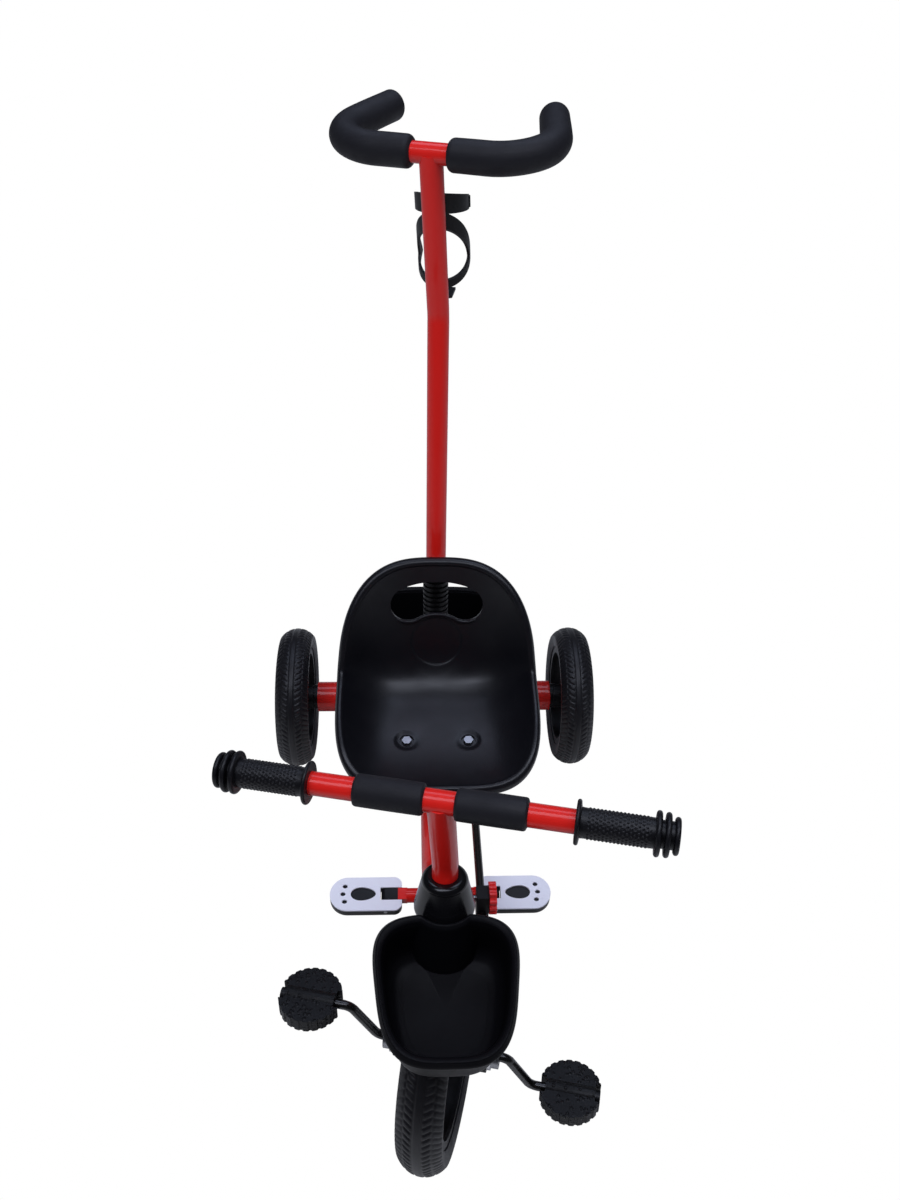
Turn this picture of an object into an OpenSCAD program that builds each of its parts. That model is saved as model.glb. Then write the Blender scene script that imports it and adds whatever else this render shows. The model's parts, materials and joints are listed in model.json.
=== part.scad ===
// Toddler push-along trike: a steel frame on three moulded wheels, with pedals on the
// front hub, folding footrests, a bucket seat, two baskets and a parent push bar that
// steers the fork through a link rod. It faces -Y and stands on Z = 0.

/* [Wheels] */
// Outer diameter of the front tyre
front_tyre_d = 250; // [240:1:262]
// Width of the front tyre
front_tyre_w = 48; // [44:1:52]
// Outer diameter of each rear tyre
rear_tyre_d = 195; // [186:1:204]
// Width of each rear tyre
rear_tyre_w = 44; // [40:1:48]
// Height of the tyres from rim to tread
tyre_h = 27; // [23:1:31]
// Distance between the middles of the rear tyres
rear_track = 387; // [376:1:400]
// Distance from the rear axle back to front along the ground
wheelbase = 502; // [490:1:515]
// Diameter of the rear axle rod
rear_axle_d = 10; // [8:0.5:12]
// Number of spokes in each wheel
spoke_count = 5; // [4:1:6]

/* [Frame] */
// Diameter of the main tube and of the rear axle tube
main_tube_d = 42; // [38:1:46]
// Wall of the frame tubes
tube_wall = 1.6; // [1.2:0.1:2.5]
// Clearance of the main tube over the front mudguard
guard_clear = 16.4; // [12:0.2:20]
// Drop of the main tube's bend below the line of the link rod
bend_drop = 15; // [12:0.5:18]
// Backward lean of the steering axis and of the push bar, in degrees
rake = 17.5; // [15:0.5:20]
// Diameter of the head tube
head_tube_d = 44; // [42:1:46]
// Length of the head tube
head_tube_len = 70; // [62:1:76]
// Diameter of the push bar socket
socket_d = 36; // [34:1:38]
// Length of the push bar socket
socket_len = 72; // [64:1:78]

/* [Steering] */
// Steering angle as the trike stands, in degrees, clockwise below zero
steer_rest = -13.5; // [-25:0.5:25]
// Diameter of the steerer tube
steerer_d = 32; // [30:0.5:33]
// Distance of the link rod's pivots from the two steering axes
arm_r = 43; // [41:0.5:45]
// Diameter of the link rod
link_rod_d = 9; // [8:0.5:10]
// Diameter of the handlebar stem
stem_d = 25.4; // [24:0.2:26]
// Forward set of the handlebar from the steering axis
bar_set = 28; // [22:1:34]
// Height of the handlebar above the front hub, along the steering axis
bar_rise = 358; // [345:1:370]
// Diameter of the handlebar
bar_d = 22; // [20:0.5:23]
// Half of the handlebar's length, to the end of the grip
bar_half = 209; // [200:1:220]
// Length of the handlebar grips
grip_len = 96; // [86:1:104]

/* [Fork and pedals] */
// Inside width of the fork between its legs
fork_gap = 102; // [98:1:108]
// Thickness of the fork's steel strap
strap_t = 4; // [3:0.5:5]
// Width of the fork's steel strap
strap_w = 30; // [26:1:34]
// Width of the mudguard
guard_w = 56; // [54:1:60]
// Diameter of the crank rod
crank_d = 10; // [9:0.5:11]
// Throw of the cranks
crank_throw = 55; // [50:1:60]
// Crank angle as the trike stands, in degrees
crank_rest = 104; // [0:1:180]
// Diameter of the pedals
pedal_d = 68; // [62:1:72]
// Thickness of the pedals
pedal_t = 20; // [18:1:24]

/* [Seat] */
// Half width of the seat
seat_half_w = 115; // [108:1:122]
// Clearance of the seat pan over the link rod and the main tube
seat_rise = 6; // [4:0.5:10]
// Distance of the seat's front edge ahead of the rear axle
seat_fore = 246; // [238:1:254]
// Length of the seat pan before the back curves up
seat_pan_len = 142; // [136:1:150]
// Straight length of the seat back
seat_back_len = 126; // [118:1:136]
// Rise of the seat's sides above the pan
seat_side_h = 44; // [38:1:52]
// Thickness of the seat shell
seat_t = 3.5; // [3:0.25:5]
// Distance between the seat bolts
seat_bolt_gap = 76; // [70:1:84]

/* [Baskets] */
// Width of the front basket's rim
front_basket_w = 150; // [140:1:158]
// Length of the front basket's rim
front_basket_len = 144; // [134:1:152]
// Depth of the front basket
front_basket_h = 62; // [54:1:68]
// Width of the rear basket's rim
rear_basket_w = 190; // [170:1:210]
// Length of the rear basket's rim
rear_basket_len = 88; // [80:1:100]
// Depth of the rear basket
rear_basket_h = 82; // [72:1:90]
// Wall of both baskets
basket_wall = 3; // [2.5:0.25:4]

/* [Footrests] */
// Distance of the footrest hinges from the middle
footrest_hinge_x = 61; // [58:1:66]
// Length of each footrest
footrest_len = 80; // [74:1:88]
// Width of each footrest
footrest_w = 40; // [36:1:44]
// Diameter of the footrest cross tube
footrest_tube_d = 16; // [14:1:18]

/* [Push bar] */
// Diameter of the push bar tube
push_d = 25.4; // [24:0.2:26]
// Length of the lower push bar from the socket's foot to the kink
push_lower_len = 590; // [560:2:620]
// Length of the upper push bar from the kink to the handle
push_upper_len = 180; // [165:1:195]
// Forward bend of the push bar at the kink, in degrees
push_kink = 14.5; // [10:0.5:18]
// Diameter of the push handle's tube
handle_d = 22; // [20:0.5:24]
// Straight half length of the push handle before its corners
handle_half = 60; // [54:1:66]
// Radius of the push handle's corners
handle_corner_r = 56; // [48:1:60]
// Turn of the push handle's corners, in degrees
handle_turn = 107; // [98:1:112]
// Straight length of the push handle's ends
handle_end_len = 64; // [52:1:70]
// Turn of the push handle on its tube, as photographed
handle_twist = -8; // [-12:0.5:12]
// Outer diameter of the push handle's foam
foam_d = 34; // [31:0.5:36]

/* [Hidden] */
$fn = 64;

// Overrun of every cut, the gap of a running fit, and the gap of free neighbours
over = 1;
run_gap = 0.05;
free_gap = 0.4;
soft_gap = 0.3;

// Straight runs lap over the bends of a bar, and the bends are drawn in by a step
lap = 1;
lap_step = 0.1;

// Distance from the middle of the trike's length back to the rear axle
axle_y = 156.75;
front_r = front_tyre_d / 2;
rear_r = rear_tyre_d / 2;
main_r = main_tube_d / 2;

// Points in the middle plane are [y, z], counted from under the rear axle
function dist(a, b) = norm(b - a);
function slope(a, b) = atan2(b[1] - a[1], b[0] - a[0]);

// Height at y of a line through a point at a slope, and the y where two such lines meet
function line_z(p, a, y) = p[1] + (y - p[0]) * tan(a);
function meeting_y(p, a, q, b) = (line_z(q, b, 0) - line_z(p, a, 0)) / (tan(a) - tan(b));

// Tyres and wheels
tyre_crown_share = 0.62;
tread_groove = 1.6;
rib_share = 0.16;
rim_w_share = 0.8;
rim_wall = 5;
rim_lip = 4;
spoke_t = 9;
spoke_root_w = 17;
spoke_tip_w = 14;
front_hub_d = 36;
rear_hub_d = 34;
rear_hub_len = 46;

// Head, from the front hub up along the steering axis
guard_gap = 3;
guard_t = 1.2;
guard_edge = 6;
guard_front_a = 38;
guard_rear_a = 46;
guard_r = front_r + guard_gap;
crown_z = guard_r + guard_t + soft_gap;
crown_top = crown_z + strap_t;
arm_t = 5;
arm_top = crown_top + arm_t;
arm_ring_w = 7;
bush_flange_t = 3;
bush_flange_w = 3;
bush_len = 14;
bush_wall = 3;
head_bore_d = steerer_d + 2 * bush_wall;
head_z0 = arm_top + bush_flange_t + free_gap;
head_z1 = head_z0 + head_tube_len;
steerer_top = head_z1 + bush_flange_t + 2 * bush_flange_w;
stem_depth = 58;
cover_skirt = 9;
cover_h = 34;
cover_foot_r = 30;
cover_top_r = 23;
cover_wall = 3;
cover_bead = 3;
cover_shoulder = 7;
cover_slack = 1;
cover_bore_r = steerer_d / 2 + cover_slack;
head_mid = head_z0 + head_tube_len / 2;
head_point = [-wheelbase + head_mid * sin(rake), front_r + head_mid * cos(rake)];

// Rear axle
hub_gap = 0.5;
plug_collar = 6;
axle_tube_half = rear_track / 2 - rear_hub_len / 2 - plug_collar;
plug_depth = 18;
cap_d = 24;
cap_h = 8;
cap_skirt = 3;
axle_half = rear_track / 2 + rear_hub_len / 2 + hub_gap + cap_h - cap_skirt;

// Push bar socket: it leans with the rake and touches the front of the axle tube
weld_sink = 0.5;
socket_set = main_r + socket_d / 2 - weld_sink;
push_axis_y = -socket_set / cos(rake) - rear_r * tan(rake);
socket_down_share = 0.32;
socket_z0 = rear_r * cos(rake) - socket_len * socket_down_share;
socket_z1 = socket_z0 + socket_len;
socket_bore_d = push_d + 2 * bush_wall;

// Link rod and its arms, with both pivots at the same turn about parallel axes
eye_h = 10;
eye_wall = 4.5;
pin_d = 8;
pin_head_d = 14;
pin_head_h = 2;
arm_boss_d = 18;
open_pivot_gap = 0.5;
push_arm_z = socket_z1 + bush_flange_t + free_gap;
push_arm_t = 8;
front_eye_z = arm_top + soft_gap + eye_h / 2;
rear_eye_z = push_arm_z + push_arm_t + soft_gap + eye_h / 2;
pivot_x = arm_r * cos(steer_rest);
pivot_y = arm_r * sin(steer_rest);
front_pivot = [-wheelbase + front_eye_z * sin(rake) + pivot_y * cos(rake),
    front_r + front_eye_z * cos(rake) - pivot_y * sin(rake)];
rear_pivot = [push_axis_y + rear_eye_z * sin(rake) + pivot_y * cos(rake),
    rear_eye_z * cos(rake) - pivot_y * sin(rake)];
link_a = slope(front_pivot, rear_pivot);

// Main tube: from the head over the mudguard to a bend under the link rod's line, then to the axle
axle_point = [0, rear_r];
main_bend_r = 90;
main_front_a = asin((guard_r + guard_t + main_r + guard_clear) / head_mid) - rake - 90;
bend_y = meeting_y(head_point, main_front_a, front_pivot - [0, bend_drop], link_a);
bend_point = [bend_y, line_z(head_point, main_front_a, bend_y)];
main_rear_a = slope(bend_point, axle_point);
main_turn = main_rear_a - main_front_a;
main_trim = main_bend_r * tan(main_turn / 2);
main_steps = [[dist(head_point, bend_point) - main_trim, -main_turn, main_bend_r],
    [dist(bend_point, axle_point) - main_trim, 0, 0]];
function tube_top(y) = let (a = y < bend_y ? main_front_a : main_rear_a)
    line_z(bend_point, a, y) + main_r / cos(a);
function rod_top(y) = line_z(front_pivot, link_a, y) + link_rod_d / 2 / cos(link_a);

// Clamp with its stud and knob
clamp_at = 64;
clamp_w = 13;
clamp_len = 18;
clamp_foot = 8;
clamp_top = 24;
stud_d = 6;
stud_up = 15;
stud_out = 7;
knob_d = 34;
knob_t = 7.5;
knob_lobes = 12;
knob_lobe_d = 5;

// Handlebar
stem_bend_r = 70;
stem_turn = 16;
stem_run = (bar_set - stem_bend_r * (1 - cos(stem_turn))) / sin(stem_turn);
stem_foot = steerer_top - stem_depth;
stem_straight = bar_rise - stem_run * cos(stem_turn) - stem_bend_r * sin(stem_turn) - stem_foot;
pad_d = 30;
pad_start = 14;
pad_bare = 34;
pad_len = bar_half - grip_len - pad_start - pad_bare;
grip_d = 28;
grip_flange_d = 40;
grip_flange_t = 4;
grip_ring_t = 5;
grip_ring_gap = 3;
grip_end_ds = [40, 39, 33];
grip_end_wall = 4;

// Fork
leg_x = fork_gap / 2;
crown_corner_r = 10;
leg_top = crown_top - crown_corner_r;
nub_d = 20;
nub_flange_d = 25;
nub_out = 8;

// Cranks: each side is an S of two like bends
crank_start = leg_x + strap_t + nub_out + hub_gap;
crank_bend_r = 12;
crank_turn = 65;
crank_run = (crank_throw - 2 * crank_bend_r * (1 - cos(crank_turn))) / sin(crank_turn);
crank_out = 2 * crank_bend_r * sin(crank_turn) + crank_run * cos(crank_turn);
pedal_gap = 2;
pedal_x = crank_start + crank_out + pedal_gap + pedal_d / 2;
pedal_cap_d = 14;
pedal_cap_t = 4;
pedal_notch_w = 7;
pedal_end = pedal_d / 2 - pedal_notch_w;
spindle_len = pedal_gap + pedal_d / 2 + pedal_end + hub_gap + pedal_cap_t;
pedal_step = 2.5;
pedal_bite_d = 5;
pedal_bite_count = 22;
pedal_lean = -14;

// Seat shell: a dished sheet over a bent middle line, with a rolled lip
seat_pan_h = max(tube_top(-seat_fore), rod_top(-seat_fore)) + seat_rise + seat_t;
seat_bend_r = 52;
seat_lean = 26;
seat_top_h = 8;
seat_front_h = 16;
seat_egg_share = 0.012;
seat_back_round = 2.9;
seat_front_round = 4.6;
seat_dish = 4;
seat_sides = 56;
seat_arc = seat_bend_r * (90 - seat_lean) * PI / 180;
seat_len = seat_pan_len + seat_arc + seat_back_len;
seat_in_shares = [0.14, 0.28, 0.41, 0.53, 0.64, 0.74, 0.83, 0.91, 0.965, 1];
seat_out_shares = [1, 0.95, 0.87, 0.77, 0.65, 0.5, 0.32, 0.15];
seat_lip = 9;
seat_lip_out_shares = [0.3, 0.7, 1, 1.05, 0.9, 0.62];
seat_lip_up_shares = [0.22, 0.16, -0.25, -0.85, -1.1, -0.75];
slot_mid_r = 96;
slot_w = 36;
slot_half_a = 23;
slot_down = 42;
bolt_y = -170;
bolt_d = 6;
bolt_head_d = 12;
bolt_head_h = 4;
bolt_nut_d = 11;
bolt_nut_h = 5;
boss_d = 28;
counterbore_d = 18;
boss_h = 8;
bracket_t = 3;
bracket_top = seat_pan_h - boss_h;
bracket_w = 108;
bracket_len = 50;
bracket_web_w = 30;

// Baskets
basket_sides = 64;
basket_round = 3.4;
basket_taper_share = 0.24;
basket_draft = 13;
basket_lip = 6;
basket_lip_h = 9;
basket_corner = 9;
recess_gap = 2.5;
recess_r = cover_foot_r + recess_gap;
basket_rim_up = 14;
basket_hug = 12;
front_basket_z = front_r + head_z1 * cos(rake) + basket_rim_up;
front_basket_y = -wheelbase + head_z1 * sin(rake) - cover_foot_r + basket_hug - front_basket_len / 2;
shelf_w = 40;
shelf_t = 3;
shelf_len = 66;
screw_d = 5;
screw_head_d = 9;
screw_head_h = 2.5;
screw_gap = 22;
screw_bite_share = 0.7;
rear_basket_up = 12;
rear_basket_back = 22;
rear_basket_floor = rear_r + rear_basket_up;
rear_basket_y = main_r + rear_basket_back + rear_basket_len / 2;
rear_shelf_w = 70;

// Footrests: the cross tube is let into the underside of the main tube's bend
footrest_sink = 3;
footrest_drop = main_r + footrest_tube_d / 2 - footrest_sink
    - main_bend_r * (1 / cos(main_turn / 2) - 1);
footrest_mid_a = (main_front_a + main_rear_a) / 2;
footrest_y = bend_point[0] + footrest_drop * sin(footrest_mid_a);
footrest_z = bend_point[1] - footrest_drop * cos(footrest_mid_a);
footrest_base_t = 9;
footrest_plate_t = 2;
footrest_pin_d = 4;
footrest_pin_down = 5;
footrest_lug_w = 14;
footrest_lug_d = 10;
footrest_inner = 18;
footrest_slot_w = footrest_lug_w + 2 * soft_gap + free_gap;
footrest_slot_len = footrest_inner + footrest_lug_d / 2 + over;
footrest_inner_r = 9;
print_pad_d = 17;
print_pad_len = 24;
print_toe_d = 5;
print_toe_count = 3;
print_toe_a = 32;

// Push bar
push_foot_up = 4;
push_foot_z = socket_z0 + push_foot_up;
push_kink_z = push_foot_z + push_lower_len;
push_kink_r = 60;
push_joint = 12;
push_trim = push_kink_r * tan(push_kink / 2);
foam_start = 20;
foam_cap = 4;
sleeve_d = 33;
sleeve_rib_d = 29;
sleeve_gap = 14;
sleeve_len = 158;
sleeve_pitch = 7;
cage_r = 30;
cage_wall = 3;
cage_top = 134;
cage_band_h = 22;
cage_ear_h = 16;
cage_ear_drop = 12;
cage_ear_y = 3;
cage_lip_d = 6;
cage_loop_top = 116;
cage_loop_mid = 54;
cage_loop_low = 25;
cage_loop_y = 7;
cage_loop_w = 9;
cage_loop_round = 1.4;
cage_spine_w = 14;
cage_spine_z = 12;
cage_foot_len = 26;
cage_foot_w = 26;

red = "firebrick";
black = "dimgray";
dark = "darkslategray";
steel = "silver";

// Places

module from_axle() {
    translate([0, axle_y, 0]) children();
}

module on_head() {
    from_axle() translate([0, -wheelbase, front_r]) rotate([-rake, 0, 0]) children();
}

module on_fork() {
    on_head() rotate([0, 0, steer_rest]) children();
}

module on_push_axis() {
    from_axle() translate([0, push_axis_y, 0]) rotate([-rake, 0, 0]) children();
}

module on_push() {
    on_push_axis() rotate([0, 0, steer_rest]) children();
}

// The upper push bar's own frame, with Z up the tube from the kink
module on_push_upper() {
    on_push() translate([0, 0, push_kink_z]) rotate([push_kink, 0, 0]) children();
}

module on_link() {
    from_axle() translate([pivot_x, front_pivot[0], front_pivot[1]]) rotate([link_a, 0, 0]) children();
}

module each_side() {
    for (side = [0, 1]) mirror([side, 0, 0]) children();
}

// Shared shapes

// Rod along X from one place to another
module cross_rod(d, x0, x1) {
    translate([x0, 0, 0]) rotate([0, 90, 0]) cylinder(d = d, h = x1 - x0);
}

module ring(d, bore, h) {
    difference() {
        cylinder(d = d, h = h);
        translate([0, 0, -over]) cylinder(d = bore, h = h + 2 * over);
    }
}

// Quarter or longer bend of a round bar, from +Z towards +Y
module bend(d, r, turn) {
    translate([0, r, 0]) rotate([90, 0, -90])
        rotate_extrude(angle = turn) translate([r, 0]) circle(d = d);
}

// Round bar along +Z made of straight runs and bends: steps are [run, turn, radius]
module bar(d, steps, i = 0) {
    if (i < len(steps)) {
        run = steps[i][0];
        turn = steps[i][1];
        side = sign(turn) * steps[i][2];
        start = i > 0 ? lap : 0;
        if (run > 0) translate([0, 0, -start]) cylinder(d = d, h = run + start + (turn == 0 ? 0 : lap));
        if (turn != 0) translate([0, 0, run]) {
            mirror([0, turn < 0 ? 1 : 0, 0]) bend(d - 2 * lap_step, steps[i][2], abs(turn));
            translate([0, side, 0]) rotate([-turn, 0, 0]) translate([0, -side, 0]) bar(d, steps, i + 1);
        }
    }
}

// The same steps with the first and last runs made longer, for a bore
function longer(steps, extra) = [for (i = [0 : len(steps) - 1])
    [steps[i][0] + (i == 0 ? extra : 0) + (i == len(steps) - 1 ? extra : 0), steps[i][1], steps[i][2]]];

module pipe(d, wall, steps) {
    difference() {
        bar(d, steps);
        translate([0, 0, -over]) bar(d - 2 * wall, longer(steps, over));
    }
}

// Closed skin over a list of rings with the same count of points, from pole to pole
module ring_skin(rings, first_pole, last_pole) {
    n = len(rings[0]);
    m = len(rings);
    points = concat([for (r = rings) each r], [first_pole, last_pole]);
    sides = [for (j = [0 : m - 2], i = [0 : n - 1]) let (k = (i + 1) % n)
        each [[j * n + i, j * n + k, (j + 1) * n + k], [j * n + i, (j + 1) * n + k, (j + 1) * n + i]]];
    first_cap = [for (i = [0 : n - 1]) [n * m, (i + 1) % n, i]];
    last_cap = [for (i = [0 : n - 1]) let (k = (m - 1) * n) [n * m + 1, k + i, k + (i + 1) % n]];
    polyhedron(points, concat(sides, first_cap, last_cap));
}

function round_cos(a, n) = sign(cos(a)) * pow(abs(cos(a)), 2 / n);
function round_sin(a, n) = sign(sin(a)) * pow(abs(sin(a)), 2 / n);

// Wheels and tyres, about the X axis

module about_x() {
    rotate([0, 90, 0]) rotate_extrude() children();
}

module tyre(d, w) {
    r = d / 2;
    crown = w * tyre_crown_share;
    about_x() difference() {
        intersection() {
            translate([r - tyre_h, -w / 2]) square([tyre_h, w]);
            translate([r - crown, 0]) circle(r = crown);
        }
        for (s = [-1, 1]) translate([r, s * w * rib_share]) circle(r = tread_groove);
    }
}

module spoked_wheel(rim_d, rim_w, hub_d, hub_len, bore) {
    difference() {
        union() {
            about_x() union() {
                translate([rim_d / 2 - rim_wall, -rim_w / 2]) square([rim_wall, rim_w]);
                for (s = [0, 1]) mirror([0, s])
                    translate([rim_d / 2 - rim_wall - rim_lip, rim_w / 2 - rim_lip])
                    square([rim_wall + rim_lip, rim_lip]);
            }
            cross_rod(hub_d, -hub_len / 2, hub_len / 2);
            for (i = [0 : spoke_count - 1]) rotate([i * 360 / spoke_count, 0, 0]) rotate([90, 0, 90])
                linear_extrude(spoke_t, center = true) polygon([
                    [-spoke_root_w / 2, 0], [spoke_root_w / 2, 0],
                    [spoke_tip_w / 2, rim_d / 2 - rim_wall / 2], [-spoke_tip_w / 2,
                        rim_d / 2 - rim_wall / 2]]);
        }
        cross_rod(bore, -hub_len / 2 - over, hub_len / 2 + over);
    }
}

// Frame

module head_cut() {
    on_head() cylinder(d = head_tube_d, h = head_z1 + head_tube_len);
}

module axle_cut() {
    from_axle() translate([0, 0, rear_r]) cross_rod(main_tube_d, -axle_tube_half, axle_tube_half);
}

module socket_cut() {
    on_push_axis() translate([0, 0, socket_z0 - socket_len]) cylinder(d = socket_d, h = 3 * socket_len);
}

module on_main_start() {
    from_axle() translate([0, head_point[0], head_point[1]]) rotate([main_front_a - 90, 0, 0]) children();
}

module main_tube() {
    color(red) difference() {
        on_main_start() pipe(main_tube_d, tube_wall, main_steps);
        head_cut();
        axle_cut();
        socket_cut();
        on_push_axis() translate([-main_tube_d, 0, 0]) cube([2 * main_tube_d, wheelbase, wheelbase]);
    }
}

module head_tube() {
    color(red) on_head() translate([0, 0, head_z0]) ring(head_tube_d, head_bore_d, head_tube_len);
}

// Flanged bush, with its flange under Z = 0 and its barrel above
module flanged_bush(bore, barrel_d) {
    difference() {
        union() {
            translate([0, 0, -bush_flange_t])
                cylinder(d = barrel_d + 2 * bush_flange_w, h = bush_flange_t);
            cylinder(d = barrel_d, h = bush_len);
        }
        translate([0, 0, -bush_flange_t - over])
            cylinder(d = bore, h = bush_flange_t + bush_len + 2 * over);
    }
}

module head_bushes() {
    color(black) on_head() {
        translate([0, 0, head_z0]) flanged_bush(steerer_d + 2 * run_gap, head_bore_d);
        translate([0, 0, head_z1]) mirror([0, 0, 1]) flanged_bush(steerer_d + 2 * run_gap, head_bore_d);
    }
}

// Bell-shaped cover over the top of the head: a beaded foot, a drawn-in waist and a round shoulder
module head_cover() {
    top = cover_skirt + cover_h;
    seat = cover_skirt + bush_flange_t + free_gap;
    color(black) on_head() translate([0, 0, head_z1 - cover_skirt]) rotate_extrude() difference() {
        union() {
            translate([0, cover_bead]) polygon([[0, 0], [cover_foot_r, 0], [cover_foot_r, cover_bead],
                [cover_top_r, top - cover_shoulder - cover_bead], [0,
                    top - cover_shoulder - cover_bead]]);
            translate([cover_foot_r - cover_bead, cover_bead]) circle(r = cover_bead);
            square([cover_foot_r - cover_bead, 2 * cover_bead]);
            translate([cover_top_r - cover_shoulder, top - cover_shoulder]) circle(r = cover_shoulder);
            square([cover_top_r - cover_shoulder, top]);
        }
        translate([-over, -over]) square([head_tube_d / 2 + over, seat + over]);
        translate([-over, 0]) square([cover_bore_r + over, top - cover_wall]);
        translate([-over, 0]) square([stem_d / 2 + free_gap + over, top + over]);
    }
}

module rear_axle_tube() {
    color(red) from_axle() translate([0, 0, rear_r]) difference() {
        cross_rod(main_tube_d, -axle_tube_half, axle_tube_half);
        cross_rod(main_tube_d - 2 * tube_wall, -axle_tube_half - over, axle_tube_half + over);
    }
}

module axle_plugs() {
    hub_face = rear_track / 2 - rear_hub_len / 2 - hub_gap;
    color(black) from_axle() translate([0, 0, rear_r]) each_side() difference() {
        union() {
            cross_rod(main_tube_d - 2 * tube_wall, axle_tube_half - plug_depth, axle_tube_half);
            cross_rod(rear_hub_d, axle_tube_half, hub_face);
        }
        cross_rod(rear_axle_d, axle_tube_half - plug_depth - over, hub_face + over);
    }
}

module rear_axle() {
    color(steel) from_axle() translate([0, 0, rear_r]) cross_rod(rear_axle_d, -axle_half, axle_half);
}

module axle_caps() {
    cap_x = rear_track / 2 + rear_hub_len / 2 + hub_gap;
    color(steel) from_axle() translate([0, 0, rear_r]) each_side() translate([cap_x, 0, 0])
        rotate([0, 90, 0])
        difference() {
            intersection() {
                cylinder(d = cap_d, h = cap_h);
                translate([0, 0, cap_h - cap_d]) sphere(r = cap_d);
            }
            translate([0, 0, -over]) cylinder(d = rear_axle_d, h = cap_h - cap_skirt + over);
        }
}

module push_socket() {
    color(red) difference() {
        on_push_axis() translate([0, 0, socket_z0]) ring(socket_d, socket_bore_d, socket_len);
        axle_cut();
    }
}

module socket_bushes() {
    color(black) on_push_axis() {
        translate([0, 0, socket_z1]) mirror([0, 0, 1]) flanged_bush(push_d + 2 * run_gap, socket_bore_d);
        translate([0, 0, push_foot_z]) ring(socket_bore_d, push_d + 2 * run_gap, bush_len);
    }
}

// Seat

function seat_angle(s) = s < seat_pan_len ? 0
    : s > seat_pan_len + seat_arc ? 90 - seat_lean
    : (s - seat_pan_len) / seat_bend_r * 180 / PI;

function seat_line(s) = let (a = seat_angle(s), past = max(0, s - seat_pan_len - seat_arc))
    [-seat_fore + min(s, seat_pan_len) + seat_bend_r * sin(a) + past * cos(a),
        seat_pan_h + seat_bend_r * (1 - cos(a)) + past * sin(a)];

// Place on the sheet: share of the way out, angle round it, steps outwards and upwards
function seat_point(share, a, out, up) =
    let (n = sin(a) > 0 ? seat_back_round : seat_front_round, c = round_cos(a, n), d = round_sin(a, n),
        x = (seat_half_w * (1 - seat_egg_share * d) * share + out) * c,
        s = seat_len / 2 + (seat_len / 2 * share + out) * d,
        end_h = sin(a) > 0 ? seat_top_h : seat_front_h,
        rim_h = seat_side_h * pow(cos(a), 2) + end_h * pow(sin(a), 2),
        h = rim_h * pow(share, seat_dish) + up,
        t = seat_angle(s), p = seat_line(s))
    [x, p[0] - h * sin(t), p[1] + h * cos(t)];

function seat_ring(share, out, up) =
    [for (i = [0 : seat_sides - 1]) seat_point(share, i * 360 / seat_sides, out, up)];

seat_rings = concat(
    [for (q = seat_in_shares) seat_ring(q, 0, 0)],
    [for (i = [0 : len(seat_lip_out_shares) - 1])
        seat_ring(1, seat_lip * seat_lip_out_shares[i], seat_lip * seat_lip_up_shares[i])],
    [for (q = seat_out_shares) seat_ring(q, seat_t * q, -seat_t)]);

module at_seat_bolts() {
    for (x = [-1, 1]) translate([x * seat_bolt_gap / 2, bolt_y, 0]) children();
}

// Arched hand slot, in the plane of the seat back
module hand_slot() {
    translate([0, -slot_mid_r]) {
        intersection() {
            difference() {
                circle(r = slot_mid_r + slot_w / 2);
                circle(r = slot_mid_r - slot_w / 2);
            }
            polygon([[0, 0], slot_mid_r * 2 * [-sin(slot_half_a), cos(slot_half_a)],
                slot_mid_r * 2 * [sin(slot_half_a), cos(slot_half_a)]]);
        }
        for (s = [-1, 1]) rotate(s * slot_half_a) translate([0, slot_mid_r]) circle(d = slot_w);
    }
}

module seat_shell() {
    back = seat_line(seat_len - slot_down);
    color(dark) from_axle() difference() {
        union() {
            ring_skin(seat_rings, seat_point(0, 0, 0, 0), seat_point(0, 0, 0, -seat_t));
            at_seat_bolts() translate([0, 0, bracket_top]) cylinder(d = boss_d, h = boss_h);
        }
        at_seat_bolts() {
            translate([0, 0, bracket_top - over]) cylinder(d = bolt_d, h = boss_h + 2 * over);
            translate([0, 0, bracket_top + boss_h - bolt_head_h / 2])
                cylinder(d = counterbore_d, h = boss_h * 2);
        }
        translate([0, back[0], back[1]]) rotate([90 - seat_lean, 0, 0])
            linear_extrude(seat_side_h, center = true) hand_slot();
    }
}

module seat_bracket() {
    color(red) from_axle() difference() {
        union() {
            translate([-bracket_w / 2, bolt_y - bracket_len / 2, bracket_top - bracket_t])
                cube([bracket_w, bracket_len, bracket_t]);
            for (y = [bolt_y - bracket_len / 2, bolt_y + bracket_len / 2 - strap_t])
                let (z = rear_r + y * tan(main_rear_a) + strap_t) translate([-bracket_web_w / 2, y, z])
                    cube([bracket_web_w, strap_t, bracket_top - z - bracket_t / 2]);
        }
        at_seat_bolts() translate([0, 0, bracket_top - bracket_t - over])
            cylinder(d = bolt_d, h = bracket_t + 2 * over);
        translate([0, bend_point[0], bend_point[1]]) rotate([main_rear_a - 90, 0, 0])
            cylinder(d = main_tube_d, h = dist(bend_point, axle_point));
    }
}

module seat_bolts() {
    head_z = bracket_top + boss_h - bolt_head_h / 2;
    color(steel) from_axle() at_seat_bolts() {
        translate([0, 0, head_z]) cylinder(d = bolt_head_d, h = bolt_head_h, $fn = 6);
        translate([0, 0, bracket_top - bracket_t - bolt_nut_h - over])
            cylinder(d = bolt_d, h = head_z - bracket_top
            + bracket_t + bolt_nut_h + over);
        translate([0, 0, bracket_top - bracket_t - bolt_nut_h])
            cylinder(d = bolt_nut_d, h = bolt_nut_h, $fn = 6);
    }
}

// Baskets

// Middle of the head at a height above the front basket's floor, seen from the basket
function head_back(z) = (front_basket_z - front_basket_h + z - front_r) * tan(rake) - wheelbase
    - front_basket_y;

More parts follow.
